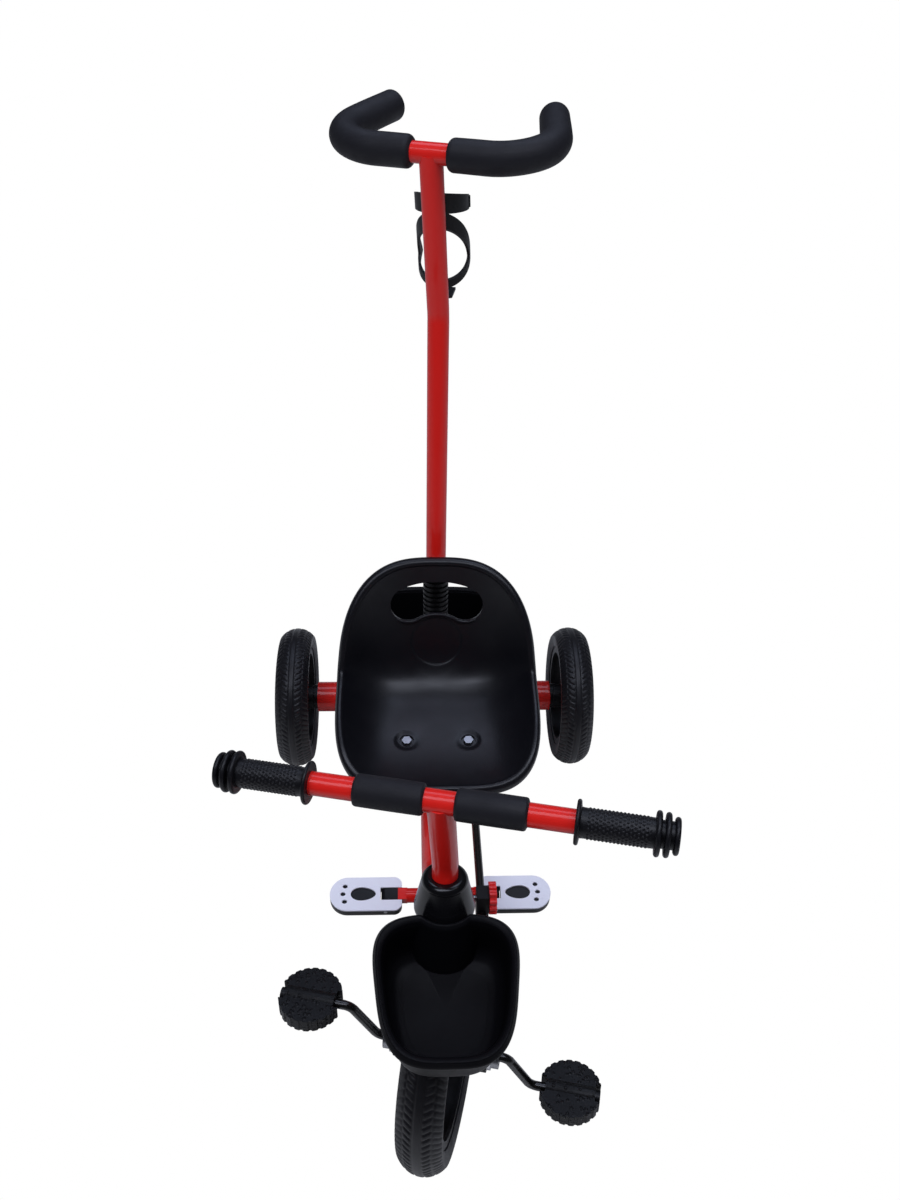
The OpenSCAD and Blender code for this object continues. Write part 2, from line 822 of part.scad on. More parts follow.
// Place on a tub's outline, drawn forward round the head where there is a recess
function recessed(x, y, z, r) = abs(x) < r ? min(y, head_back(z) - sqrt(r * r - x * x) / cos(rake)) : y;

// Outline of a tub: a rounded oblong that can narrow towards the front and wrap the head
function tub_ring(w, l, taper_share, recess, z) = [for (i = [0 : basket_sides - 1])
    let (a = i * 360 / basket_sides, d = round_sin(a, basket_round),
        x = w / 2 * round_cos(a, basket_round) * (1 - taper_share * (1 - d) / 2))
    [x, recessed(x, l / 2 * d, z, recess), z]];

// Rings of the outside from the floor up to the rim, with a rolled lip
function tub_outside(w, l, h, taper_share, n) = let (d = basket_draft, e = basket_lip, c = basket_corner,
    m = n > 0 ? n + basket_lip / 3 : 0) [
    tub_ring(w - 2 * d - 2 * c, l - 2 * d - 2 * c, taper_share, m, 0),
    tub_ring(w - 2 * d - c / 2, l - 2 * d - c / 2, taper_share, m, c / 4),
    tub_ring(w - 2 * d + c / 2, l - 2 * d + c / 2, taper_share, m, c),
    tub_ring(w - 2 * e, l - 2 * e, taper_share, m, h - basket_lip_h),
    tub_ring(w - e / 2, l - e / 2, taper_share, n, h - basket_lip_h),
    tub_ring(w, l, taper_share, n, h - basket_lip_h / 2),
    tub_ring(w - e / 2, l - e / 2, taper_share, n, h - basket_lip_h / 6),
    tub_ring(w - e, l - e, taper_share, m, h)];

// Rings of the inside from the rim down to the floor
function tub_inside(w, l, h, taper_share, n) = let (d = basket_draft, e = basket_lip, c = basket_corner,
    t = basket_wall, m = n > 0 ? n + basket_lip / 3 + basket_wall : 0) [
    tub_ring(w - 2 * e - t, l - 2 * e - t, taper_share, m, h - basket_lip_h / 4),
    tub_ring(w - 2 * e - 2 * t, l - 2 * e - 2 * t, taper_share, m, h - basket_lip_h),
    tub_ring(w - 2 * d + c / 2 - 2 * t, l - 2 * d + c / 2 - 2 * t, taper_share, m, c + t),
    tub_ring(w - 2 * d - c / 2 - 2 * t, l - 2 * d - c / 2 - 2 * t, taper_share, m, c / 4 + t),
    tub_ring(w - 2 * d - 2 * c - 2 * t, l - 2 * d - 2 * c - 2 * t, taper_share, m, t)];

module tub(w, l, h, taper_share, recess) {
    ring_skin(concat(tub_outside(w, l, h, taper_share, recess), tub_inside(w, l, h, taper_share, recess)),
        [0, 0, 0], [0, 0, basket_wall]);
}

module at_front_basket() {
    from_axle() translate([0, front_basket_y, front_basket_z - front_basket_h]) children();
}

module at_rear_basket() {
    from_axle() translate([0, rear_basket_y, rear_basket_floor]) children();
}

module at_screws() {
    for (x = [-1, 1]) translate([x * screw_gap / 2, 0, 0]) children();
}

// The front basket wraps the head in a half-round recess
module front_basket() {
    color(dark) at_front_basket() difference() {
        tub(front_basket_w, front_basket_len, front_basket_h, basket_taper_share, recess_r);
        translate([0, 0, -over]) at_screws()
            cylinder(d = screw_d, h = basket_wall * screw_bite_share + over);
    }
}

// Shelf from the front of the head tube, under the basket's floor
module front_basket_bracket() {
    shelf_z = front_basket_z - front_basket_h - soft_gap - shelf_t;
    color(red) difference() {
        from_axle() translate([-shelf_w / 2, front_basket_y - screw_gap, shelf_z])
            cube([shelf_w, shelf_len + screw_gap, shelf_t]);
        head_cut();
        from_axle() translate([-shelf_w, -wheelbase + (front_basket_z - front_r) * tan(rake),
            shelf_z - over])
            cube([2 * shelf_w, shelf_len, shelf_t + 2 * over]);
        at_front_basket() translate([0, 0, -shelf_t - soft_gap - over]) at_screws()
            cylinder(d = screw_d, h = shelf_t + 2 * over);
    }
}

module rear_basket() {
    color(dark) at_rear_basket() difference() {
        tub(rear_basket_w, rear_basket_len, rear_basket_h, 0, 0);
        translate([0, 0, -over]) at_screws()
            cylinder(d = screw_d, h = basket_wall * screw_bite_share + over);
    }
}

// Shelf from the back of the axle tube, under the rear basket's floor
module rear_basket_bracket() {
    shelf_z = rear_basket_floor - soft_gap - shelf_t;
    color(red) difference() {
        from_axle() translate([-rear_shelf_w / 2, 0, shelf_z])
            cube([rear_shelf_w, rear_basket_y + screw_gap, shelf_t]);
        axle_cut();
        from_axle() translate([-rear_shelf_w, -over, shelf_z - over])
            cube([2 * rear_shelf_w, main_r / 2, shelf_t + 2 * over]);
        at_rear_basket() translate([0, 0, -shelf_t - soft_gap - over]) at_screws()
            cylinder(d = screw_d, h = shelf_t + 2 * over);
    }
}

// Screw from under the shelf into the basket's floor
module basket_screw() {
    head_top = -shelf_t - soft_gap;
    translate([0, 0, head_top - screw_head_h]) {
        cylinder(d = screw_head_d, h = screw_head_h);
        cylinder(d = screw_d, h = basket_wall * screw_bite_share - head_top + screw_head_h);
    }
}

module basket_screws() {
    color(steel) {
        at_front_basket() at_screws() basket_screw();
        at_rear_basket() at_screws() basket_screw();
    }
}

// Footrests

module at_footrest() {
    from_axle() translate([0, footrest_y, footrest_z]) children();
}

module footrest_tube() {
    tube_end = footrest_hinge_x - footrest_inner - footrest_lug_d / 2;
    color(red) difference() {
        at_footrest() each_side() difference() {
            union() {
                cross_rod(footrest_tube_d, 0, tube_end);
                translate([tube_end - over, -footrest_lug_w / 2, -footrest_lug_d / 2])
                    cube([footrest_hinge_x - tube_end + over, footrest_lug_w, footrest_lug_d]);
                translate([footrest_hinge_x, footrest_lug_w / 2, 0]) rotate([90, 0, 0])
                    cylinder(d = footrest_lug_d, h = footrest_lug_w);
            }
            translate([footrest_hinge_x, footrest_w, 0]) rotate([90, 0, 0])
                cylinder(d = footrest_pin_d, h = 2 * footrest_w);
        }
        on_main_start() bar(main_tube_d, main_steps);
    }
}

module footrest_pins() {
    color(steel) at_footrest() each_side() translate([footrest_hinge_x, footrest_w / 2, 0])
        rotate([90, 0, 0])
        cylinder(d = footrest_pin_d, h = footrest_w);
}

// Outline of a footrest: round outside, with a slot at the hinge end; X runs outwards from the hinge
module footrest_outline(r) {
    long = footrest_len - footrest_inner - footrest_w / 2;
    difference() {
        union() {
            translate([long, 0]) circle(d = footrest_w);
            translate([-footrest_inner + r, -footrest_w / 2])
                square([long + footrest_inner - r, footrest_w]);
            translate([-footrest_inner, -footrest_w / 2 + r]) square([r, footrest_w - 2 * r]);
            for (y = [-1, 1]) translate([-footrest_inner + r, y * (footrest_w / 2 - r)]) circle(r = r);
        }
        translate([-footrest_inner - over, -footrest_slot_w / 2])
            square([footrest_slot_len + over, footrest_slot_w]);
    }
}

// Plain footprint cut-out: a broad sole and a row of toes
module footprint() {
    sole_x = footrest_len - footrest_inner - footrest_w / 2 - print_pad_len / 2;
    translate([sole_x, 0]) {
        circle(d = print_pad_d);
        translate([-print_pad_len / 2, -print_pad_d / 2 + over])
            square([print_pad_len / 2, print_pad_d - 2 * over]);
    }
    for (i = [0 : print_toe_count - 1]) let (a = (i - (print_toe_count - 1) / 2) * print_toe_a)
        translate([sole_x, 0]) rotate(a) translate([print_pad_d / 2 + 2 * print_toe_d, 0])
            circle(d = print_toe_d);
}

module footrest_base() {
    plate_z = footrest_pin_down - footrest_plate_t;
    difference() {
        translate([0, 0, plate_z - footrest_base_t]) linear_extrude(footrest_base_t)
            footrest_outline(footrest_inner_r);
        translate([0, footrest_w, 0]) rotate([90, 0, 0])
            cylinder(d = footrest_pin_d + 2 * run_gap, h = 2 * footrest_w);
    }
}

module footrest_plate() {
    translate([0, 0, footrest_pin_down - footrest_plate_t]) linear_extrude(footrest_plate_t)
        difference() {
        footrest_outline(footrest_inner_r);
        footprint();
    }
}

module footrest_base_left() {
    color(black) at_footrest() mirror([1, 0, 0]) translate([footrest_hinge_x, 0, 0]) footrest_base();
}

module footrest_base_right() {
    color(black) at_footrest() translate([footrest_hinge_x, 0, 0]) footrest_base();
}

module footrest_plate_left() {
    color(steel) at_footrest() mirror([1, 0, 0]) translate([footrest_hinge_x, 0, 0]) footrest_plate();
}

module footrest_plate_right() {
    color(steel) at_footrest() translate([footrest_hinge_x, 0, 0]) footrest_plate();
}

// Fork and handlebar, straight ahead about the steering axis

module steerer() {
    color(steel) on_fork() translate([0, 0, crown_top]) ring(steerer_d, stem_d, steerer_top - crown_top);
}

module fork_crown() {
    flat = leg_x + strap_t - crown_corner_r;
    color(steel) on_fork() {
        translate([-flat, -strap_w / 2, crown_z]) cube([2 * flat, strap_w, strap_t]);
        each_side() translate([flat, strap_w / 2, leg_top]) rotate([90, 0, 0]) rotate_extrude(angle = 90)
            translate([crown_corner_r - strap_t, 0]) square([strap_t, strap_w]);
    }
}

module fork_leg() {
    translate([leg_x, 0, 0]) difference() {
        union() {
            translate([0, -strap_w / 2, 0]) cube([strap_t, strap_w, leg_top]);
            cross_rod(strap_w, 0, strap_t);
        }
        cross_rod(nub_d, -over, strap_t + over);
    }
}

module fork_leg_left() {
    color(steel) on_fork() mirror([1, 0, 0]) fork_leg();
}

module fork_leg_right() {
    color(steel) on_fork() fork_leg();
}

module hub_bushes() {
    color(steel) on_fork() each_side() difference() {
        union() {
            cross_rod(nub_d, leg_x, leg_x + strap_t);
            cross_rod(nub_flange_d, leg_x + strap_t, leg_x + strap_t + nub_out);
        }
        cross_rod(crank_d + 2 * run_gap, leg_x - over, leg_x + strap_t + nub_out + over);
    }
}

// Rolled mudguard under the crown, with turned-down edges
module front_mudguard() {
    half = guard_w / 2;
    color(steel) on_fork() rotate([0, 90, 0]) rotate(180 - guard_rear_a)
        rotate_extrude(angle = guard_front_a + guard_rear_a)
        polygon([[guard_r + guard_t, -half], [guard_r + guard_t, half], [guard_r - guard_edge, half],
            [guard_r - guard_edge, half - guard_t], [guard_r, half - guard_t], [guard_r, guard_t - half],
            [guard_r - guard_edge, guard_t - half], [guard_r - guard_edge, -half]]);
}

// Arm with a ring on the steering axis and a headed pivot pin at its end
module link_arm(bore, h, gap) {
    difference() {
        union() {
            cylinder(d = bore + 2 * arm_ring_w, h = h);
            translate([arm_r, 0, 0]) cylinder(d = arm_boss_d, h = h);
            translate([0, -arm_boss_d / 2, 0]) cube([arm_r, arm_boss_d, h]);
        }
        translate([0, 0, -over]) cylinder(d = bore, h = h + 2 * over);
    }
    translate([arm_r, 0, h]) {
        cylinder(d = pin_d, h = eye_h + 2 * gap);
        translate([0, 0, eye_h + 2 * gap]) cylinder(d = pin_head_d, h = pin_head_h);
    }
}

module steering_arm() {
    color(dark) on_fork() translate([0, 0, crown_top]) link_arm(steerer_d, arm_t, soft_gap);
}

module handlebar_stem() {
    color(red) on_fork() difference() {
        translate([0, 0, stem_foot]) pipe(stem_d, tube_wall,
            [[stem_straight, -stem_turn, stem_bend_r], [stem_run, 0, 0]]);
        translate([0, -bar_set, bar_rise]) cross_rod(bar_d, -bar_half, bar_half);
    }
}

module on_bar() {
    on_fork() translate([0, -bar_set, bar_rise]) children();
}

module handlebar() {
    color(red) on_bar() difference() {
        cross_rod(bar_d, -bar_half + grip_end_wall, bar_half - grip_end_wall);
        cross_rod(bar_d - 2 * tube_wall, -bar_half, bar_half);
    }
}

module handlebar_pad() {
    difference() {
        cross_rod(pad_d, pad_start, pad_start + pad_len);
        cross_rod(bar_d + 2 * soft_gap, pad_start - over, pad_start + pad_len + over);
    }
}

module handlebar_pad_left() {
    color(dark) on_bar() mirror([1, 0, 0]) handlebar_pad();
}

module handlebar_pad_right() {
    color(dark) on_bar() handlebar_pad();
}

// Moulded grip: inner flange, round barrel and three end rings
module grip() {
    step = grip_ring_t + grip_ring_gap;
    difference() {
        union() {
            cross_rod(grip_d, bar_half - grip_len, bar_half);
            cross_rod(grip_flange_d, bar_half - grip_len, bar_half - grip_len + grip_flange_t);
            for (i = [0 : len(grip_end_ds) - 1]) let (x = bar_half - (len(grip_end_ds) - 1 - i) * step)
                cross_rod(grip_end_ds[i], x - grip_ring_t, x);
        }
        cross_rod(bar_d, bar_half - grip_len - over, bar_half - grip_end_wall);
    }
}

module grip_left() {
    color(black) on_bar() mirror([1, 0, 0]) grip();
}

module grip_right() {
    color(black) on_bar() grip();
}

// Front wheel and pedals

module front_tyre() {
    color(dark) on_fork() tyre(front_tyre_d, front_tyre_w);
}

module front_wheel() {
    color(black) on_fork()
        spoked_wheel(front_tyre_d - 2 * tyre_h, front_tyre_w * rim_w_share, front_hub_d,
        fork_gap - 2 * hub_gap, crank_d);
}

crank_steps = [[0, crank_turn, crank_bend_r], [crank_run, -crank_turn, crank_bend_r],
    [spindle_len, 0, 0]];

module on_crank(side) {
    on_fork() rotate([crank_rest + (side > 0 ? 180 : 0), 0, 0]) mirror([side > 0 ? 0 : 1, 0, 0])
        children();
}

module crank_axle() {
    color(black) {
        on_fork() cross_rod(crank_d, -crank_start - lap, crank_start + lap);
        for (side = [-1, 1]) on_crank(side) translate([crank_start, 0, 0]) rotate([0, 90, 0])
            bar(crank_d, crank_steps);
    }
}

module on_spindle(side) {
    on_crank(side) translate([pedal_x, crank_throw, 0]) children();
}

module pedal_caps() {
    color(steel) for (side = [-1, 1]) on_spindle(side) difference() {
        cross_rod(pedal_cap_d, pedal_end + hub_gap, pedal_end + hub_gap + pedal_cap_t + over);
        cross_rod(crank_d, 0, pedal_end + hub_gap + pedal_cap_t);
    }
}

// Round pedal of two ribbed halves on a barrel, flat in the XY plane
module pedal() {
    difference() {
        union() {
            translate([0, 0, -pedal_t / 2 + pedal_rib_h]) linear_extrude(pedal_t - 2 * pedal_rib_h)
                pedal_tread();
            translate([0, 0, -pedal_t / 2]) linear_extrude(pedal_t) intersection() {
                pedal_tread();
                for (i = [0 : pedal_rib_count - 1]) let (pitch = pedal_d / pedal_rib_count)
                    translate([(i + 1 / 4) * pitch - pedal_d / 2, -pedal_d / 2])
                        square([pitch / 2, pedal_d]);
            }
            cross_rod(pedal_barrel_d, -pedal_d / 2, pedal_d / 2);
        }
        cross_rod(crank_d + 2 * run_gap, -pedal_d, pedal_d);
    }
}

module pedal_tread() {
    difference() {
        circle(d = pedal_d);
        for (s = [-1, 1]) translate([s * pedal_d / 2, 0])
            square([pedal_notch_w * 2, pedal_t], center = true);
        for (i = [0 : pedal_bite_count - 1]) rotate((i + 1 / 2) * 360 / pedal_bite_count)
            translate([pedal_d / 2 + pedal_bite_d / 4, 0]) circle(d = pedal_bite_d);
    }
}

module pedal() {
    difference() {
        union() {
            translate([0, 0, -pedal_t / 2 + pedal_step]) linear_extrude(pedal_t - 2 * pedal_step)
                pedal_tread();
            cross_rod(pedal_t, -pedal_end, pedal_end);
        }
        cross_rod(crank_d + 2 * run_gap, -pedal_d, pedal_d);
    }
}

module pedal_left() {
    color(black) on_spindle(-1) rotate([-crank_rest + rake + pedal_lean, 0, 0]) pedal();
}

module pedal_right() {
    color(black) on_spindle(1) rotate([-crank_rest - 180 + rake + pedal_lean, 0, 0]) pedal();
}

// Rear wheels

module at_rear_wheel(side) {
    from_axle() translate([side * rear_track / 2, 0, rear_r]) children();
}

module rear_wheel() {
    spoked_wheel(rear_tyre_d - 2 * tyre_h, rear_tyre_w * rim_w_share, rear_hub_d, rear_hub_len,
        rear_axle_d + 2 * run_gap);
}

module rear_tyre_left() {
    color(dark) at_rear_wheel(-1) tyre(rear_tyre_d, rear_tyre_w);
}

module rear_tyre_right() {
    color(dark) at_rear_wheel(1) tyre(rear_tyre_d, rear_tyre_w);
}

module rear_wheel_left() {
    color(black) at_rear_wheel(-1) mirror([1, 0, 0]) rear_wheel();
}

module rear_wheel_right() {
    color(black) at_rear_wheel(1) rear_wheel();
}

// Push bar

module push_bar_lower() {
    color(red) on_push() translate([0, 0, push_foot_z])
        pipe(push_d, tube_wall, [[push_lower_len - push_trim - push_joint, 0, 0]]);
}

module on_handle() {
    on_push_upper() translate([0, 0, push_upper_len]) rotate(handle_twist) children();
}

module push_bar_upper() {
    color(red) difference() {
        on_push() translate([0, 0, push_kink_z - push_trim - push_joint])
            pipe(push_d, tube_wall, [[push_joint, -push_kink, push_kink_r],
                [push_upper_len - push_trim, 0, 0]]);
        on_handle() cross_rod(handle_d, -handle_half, handle_half);
    }
}

handle_steps = [[0, handle_turn, handle_corner_r], [handle_end_len, 0, 0]];
foam_run = handle_half - foam_start;
foam_steps = [[foam_run, handle_turn, handle_corner_r], [handle_end_len + foam_cap, 0, 0]];
foam_bore_steps = [[foam_run + over, handle_turn, handle_corner_r], [handle_end_len + soft_gap, 0, 0]];

module push_handle() {
    color(red) on_handle() {
        cross_rod(handle_d, -handle_half - lap, handle_half + lap);
        each_side() translate([handle_half, 0, 0]) rotate([0, 90, 0]) bar(handle_d, handle_steps);
    }
}

module push_grip() {
    translate([foam_start, 0, 0]) rotate([0, 90, 0]) difference() {
        bar(foam_d, foam_steps);
        translate([0, 0, -over]) bar(handle_d + 2 * (soft_gap + lap_step), foam_bore_steps);
    }
}

module push_grip_left() {
    color(dark) on_handle() mirror([1, 0, 0]) push_grip();
}

module push_grip_right() {
    color(dark) on_handle() push_grip();
}

// Ribbed sleeve on the push bar, above the arm
module push_sleeve() {
    ribs = floor(sleeve_len / sleeve_pitch);
    color(dark) on_push() translate([0, 0, push_arm_z + push_arm_t + eye_h + sleeve_gap - over])
        rotate_extrude() difference() {
            square([sleeve_d / 2, sleeve_len]);
            translate([-over, -over]) square([push_d / 2 + over, sleeve_len + 2 * over]);
            for (i = [1 : ribs - 1]) translate([sleeve_rib_d / 2, i * sleeve_pitch])
                square([sleeve_d, sleeve_pitch / 2]);
        }
}

module push_arm() {
    color(dark) on_push() translate([0, 0, push_arm_z]) link_arm(push_d, push_arm_t, soft_gap);
}

// Bottle cage: a drooping clip band, an oval loop and a spine cut from one round wall, with a foot

function loop_edge(t, reach, high, low) = [reach - (reach + cage_r + over) * pow(abs(t), cage_loop_round),
    cage_loop_mid + t * (t > 0 ? high - cage_loop_mid : cage_loop_mid - low)];

module across_cage(outline) {
    rotate([90, 0, 90]) linear_extrude(3 * cage_r, center = true) polygon(outline);
}

module bottle_cage() {
    steps = 12;
    turns = [for (i = [-steps : steps]) i / steps];
    back = -cage_r - over;
    ear_top = cage_top - cage_ear_drop;
    ear_x = sqrt(pow(cage_r - cage_wall / 2, 2) - pow(cage_ear_y, 2));
    color(dark) on_push_upper() translate([0, push_d / 2 + cage_r, 0]) {
        intersection() {
            translate([0, 0, cage_spine_z])
                ring(2 * cage_r, 2 * (cage_r - cage_wall), cage_top - cage_spine_z);
            union() {
                across_cage([[back, cage_top - cage_band_h], [cage_ear_y, ear_top - cage_ear_h],
                    [cage_ear_y, ear_top], [back, cage_top + over]]);
                across_cage(concat(
                    [for (t = turns) loop_edge(t, cage_loop_y, cage_loop_top, cage_loop_low)],
                    [for (t = turns) loop_edge(-t, cage_loop_y - cage_loop_w,
                        cage_loop_top - 2 * cage_loop_w, cage_loop_low + cage_loop_w)]));
                translate([-cage_spine_w / 2, -2 * cage_r, 0])
                    cube([cage_spine_w, 2 * cage_r, 2 * cage_top]);
            }
        }
        for (s = [-1, 1]) translate([s * ear_x, cage_ear_y, ear_top - cage_ear_h + 2 * over])
            cylinder(d = cage_lip_d, h = cage_ear_h - 4 * over);
        translate([0, 0, cage_spine_z + over]) intersection() {
            cylinder(r = cage_r - cage_wall / 2, h = cage_wall);
            translate([-cage_foot_w / 2, -cage_r, 0]) cube([cage_foot_w, cage_foot_len, cage_wall]);
        }
    }
}

// Link rod

module link_eye(bore) {
    translate([0, 0, -eye_h / 2]) cylinder(d = bore, h = eye_h);
}

module at_link_front() {
    on_head() translate([pivot_x, pivot_y, front_eye_z]) children();
}

module at_link_rear() {
    on_push_axis() translate([pivot_x, pivot_y, rear_eye_z]) children();
}

module link_rod() {
    eye_d = pin_d + 2 * eye_wall;
    color(black) difference() {
        union() {
            on_link() rotate([-90, 0, 0]) cylinder(d = link_rod_d, h = dist(front_pivot, rear_pivot));
            at_link_front() link_eye(eye_d);
            at_link_rear() link_eye(eye_d);
        }
        at_link_front() translate([0, 0, -eye_h]) cylinder(d = pin_d + 2 * run_gap, h = 2 * eye_h);
        at_link_rear() translate([0, 0, -eye_h]) cylinder(d = pin_d + 2 * open_pivot_gap, h = 2 * eye_h);
    }
}

module on_clamp() {
    on_link() translate([0, clamp_at, 0]) children();
}

module link_clamp() {
    color(black) on_clamp() difference() {
        translate([-clamp_w / 2, -clamp_len / 2, -clamp_foot])
            cube([clamp_w, clamp_len, clamp_foot + clamp_top]);
        translate([0, -clamp_len, 0]) rotate([-90, 0, 0]) cylinder(d = link_rod_d, h = 2 * clamp_len);
        translate([0, 0, stud_up]) cross_rod(stud_d, -clamp_w, clamp_w);
    }
}

module clamp_stud() {
    color(steel) on_clamp() translate([0, 0, stud_up])
        cross_rod(stud_d, -clamp_w / 2 - stud_out, clamp_w / 2 + knob_t + soft_gap);
}

// Hand knob with a finger-lobed edge
module lock_knob() {
    color(red) on_clamp() translate([clamp_w / 2 + soft_gap, 0, stud_up]) rotate([0, 90, 0])
        difference() {
        union() {
            cylinder(d = knob_d - knob_lobe_d, h = knob_t);
            for (i = [0 : knob_lobes - 1]) rotate(i * 360 / knob_lobes)
                translate([knob_d / 2 - knob_lobe_d / 2, 0, 0])
                cylinder(d = knob_lobe_d, h = knob_t);
        }
        translate([0, 0, -over]) cylinder(d = stud_d + 2 * run_gap, h = knob_t + 2 * over);
    }
}

main_tube();
head_tube();
head_bushes();
head_cover();
rear_axle_tube();
axle_plugs();
rear_axle();
axle_caps();
push_socket();
socket_bushes();
seat_bracket();
seat_shell();
seat_bolts();
footrest_tube();
footrest_pins();
front_basket();
front_basket_bracket();
basket_screws();
rear_basket();
rear_basket_bracket();
steerer();
fork_crown();
fork_leg_left();
fork_leg_right();
front_mudguard();
steering_arm();
handlebar_stem();
handlebar();
handlebar_pad_left();
handlebar_pad_right();
grip_left();
grip_right();
hub_bushes();
front_tyre();
front_wheel();
crank_axle();
pedal_caps();
pedal_left();
pedal_right();
rear_tyre_left();
rear_wheel_left();
rear_tyre_right();
rear_wheel_right();
footrest_base_left();
footrest_plate_left();
footrest_base_right();
footrest_plate_right();
push_bar_lower();
push_bar_upper();
push_handle();
push_grip_left();
push_grip_right();
push_sleeve();
push_arm();
bottle_cage();
link_rod();
link_clamp();
clamp_stud();
lock_knob();
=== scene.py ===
"""Looks of a toddler push-along trike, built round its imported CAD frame.

The CAD nodes keep their shapes. Pieces whose look needs a finer surface than the CAD gives are numpy
surfaces that stand for their CAD nodes: the treaded tyres, the foam on the bars, the dotted hand grips, the
moulded seat and baskets, and the footrests' silver plates. Shapes are drawn in mm and set in metres.
"""

import json
import logging
import math
from dataclasses import dataclass
from enum import Enum

import bpy
import numpy as np
from mathutils import Matrix


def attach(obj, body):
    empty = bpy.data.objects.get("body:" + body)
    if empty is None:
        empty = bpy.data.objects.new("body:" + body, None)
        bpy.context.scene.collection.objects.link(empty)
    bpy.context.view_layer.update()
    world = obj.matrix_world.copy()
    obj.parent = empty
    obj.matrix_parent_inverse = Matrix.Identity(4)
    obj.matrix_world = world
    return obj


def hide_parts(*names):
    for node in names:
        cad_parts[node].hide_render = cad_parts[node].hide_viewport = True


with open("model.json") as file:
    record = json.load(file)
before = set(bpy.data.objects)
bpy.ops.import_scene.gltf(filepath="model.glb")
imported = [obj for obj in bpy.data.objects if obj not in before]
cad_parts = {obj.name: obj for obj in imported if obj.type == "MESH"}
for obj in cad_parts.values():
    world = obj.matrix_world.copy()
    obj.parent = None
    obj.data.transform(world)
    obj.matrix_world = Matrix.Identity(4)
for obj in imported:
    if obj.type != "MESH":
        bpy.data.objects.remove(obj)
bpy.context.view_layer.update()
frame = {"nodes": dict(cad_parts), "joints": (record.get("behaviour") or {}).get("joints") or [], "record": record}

LOG = logging.getLogger("trike")
MM = 0.001
WHITE = "ffffff"
SIDES = ((-1, "left"), (1, "right"))

Looks = dict[str, bpy.types.Material]


def linear(code: str) -> tuple[float, float, float, float]:
    """Turn an sRGB hex colour into linear red, green, blue and alpha.

    Args:
        code: Six hex digits.

    Returns:
        The colour as Blender's shader sockets take it.
    """
    parts = np.array([int(code[i : i + 2], 16) / 255 for i in (0, 2, 4)])
    # The standard sRGB curve: straight near black and a power above.
    lit = np.where(parts <= 0.04045, parts / 12.92, ((parts + 0.055) / 1.055) ** 2.4)
    return (*(float(v) for v in lit), 1.0)


# Finishes

# Roughness of the lacquer on painted tubes.
COAT_ROUGH = 0.07
# Drawn metal: how fast its relief changes along Z, over how fast it changes across.
DRAWN_SHARE = 0.06
# Where a pip's edge starts and ends, from its middle, over the pips' spacing.
PIP_SHARES = (0.2, 0.4)
# Octaves of the fine relief, and the share of its height that each one keeps.
GRAIN_OCTAVES = 3.0
GRAIN_KEEP_SHARE = 0.6
# Clouds of uneven gloss: their size in mm, their octaves, the noise that they span and how far they go.
CLOUD = 26.3
CLOUD_OCTAVES = 2.0
CLOUD_SPAN = (0.3, 0.7)
CLOUD_SHARE = 0.12


class Grain(Enum):
    """How a surface breaks up the light."""

    NONE = "none"
    PEEL = "peel"
    SPARK = "spark"
    CELL = "cell"
    BRUSH = "brush"
    DOTS = "dots"


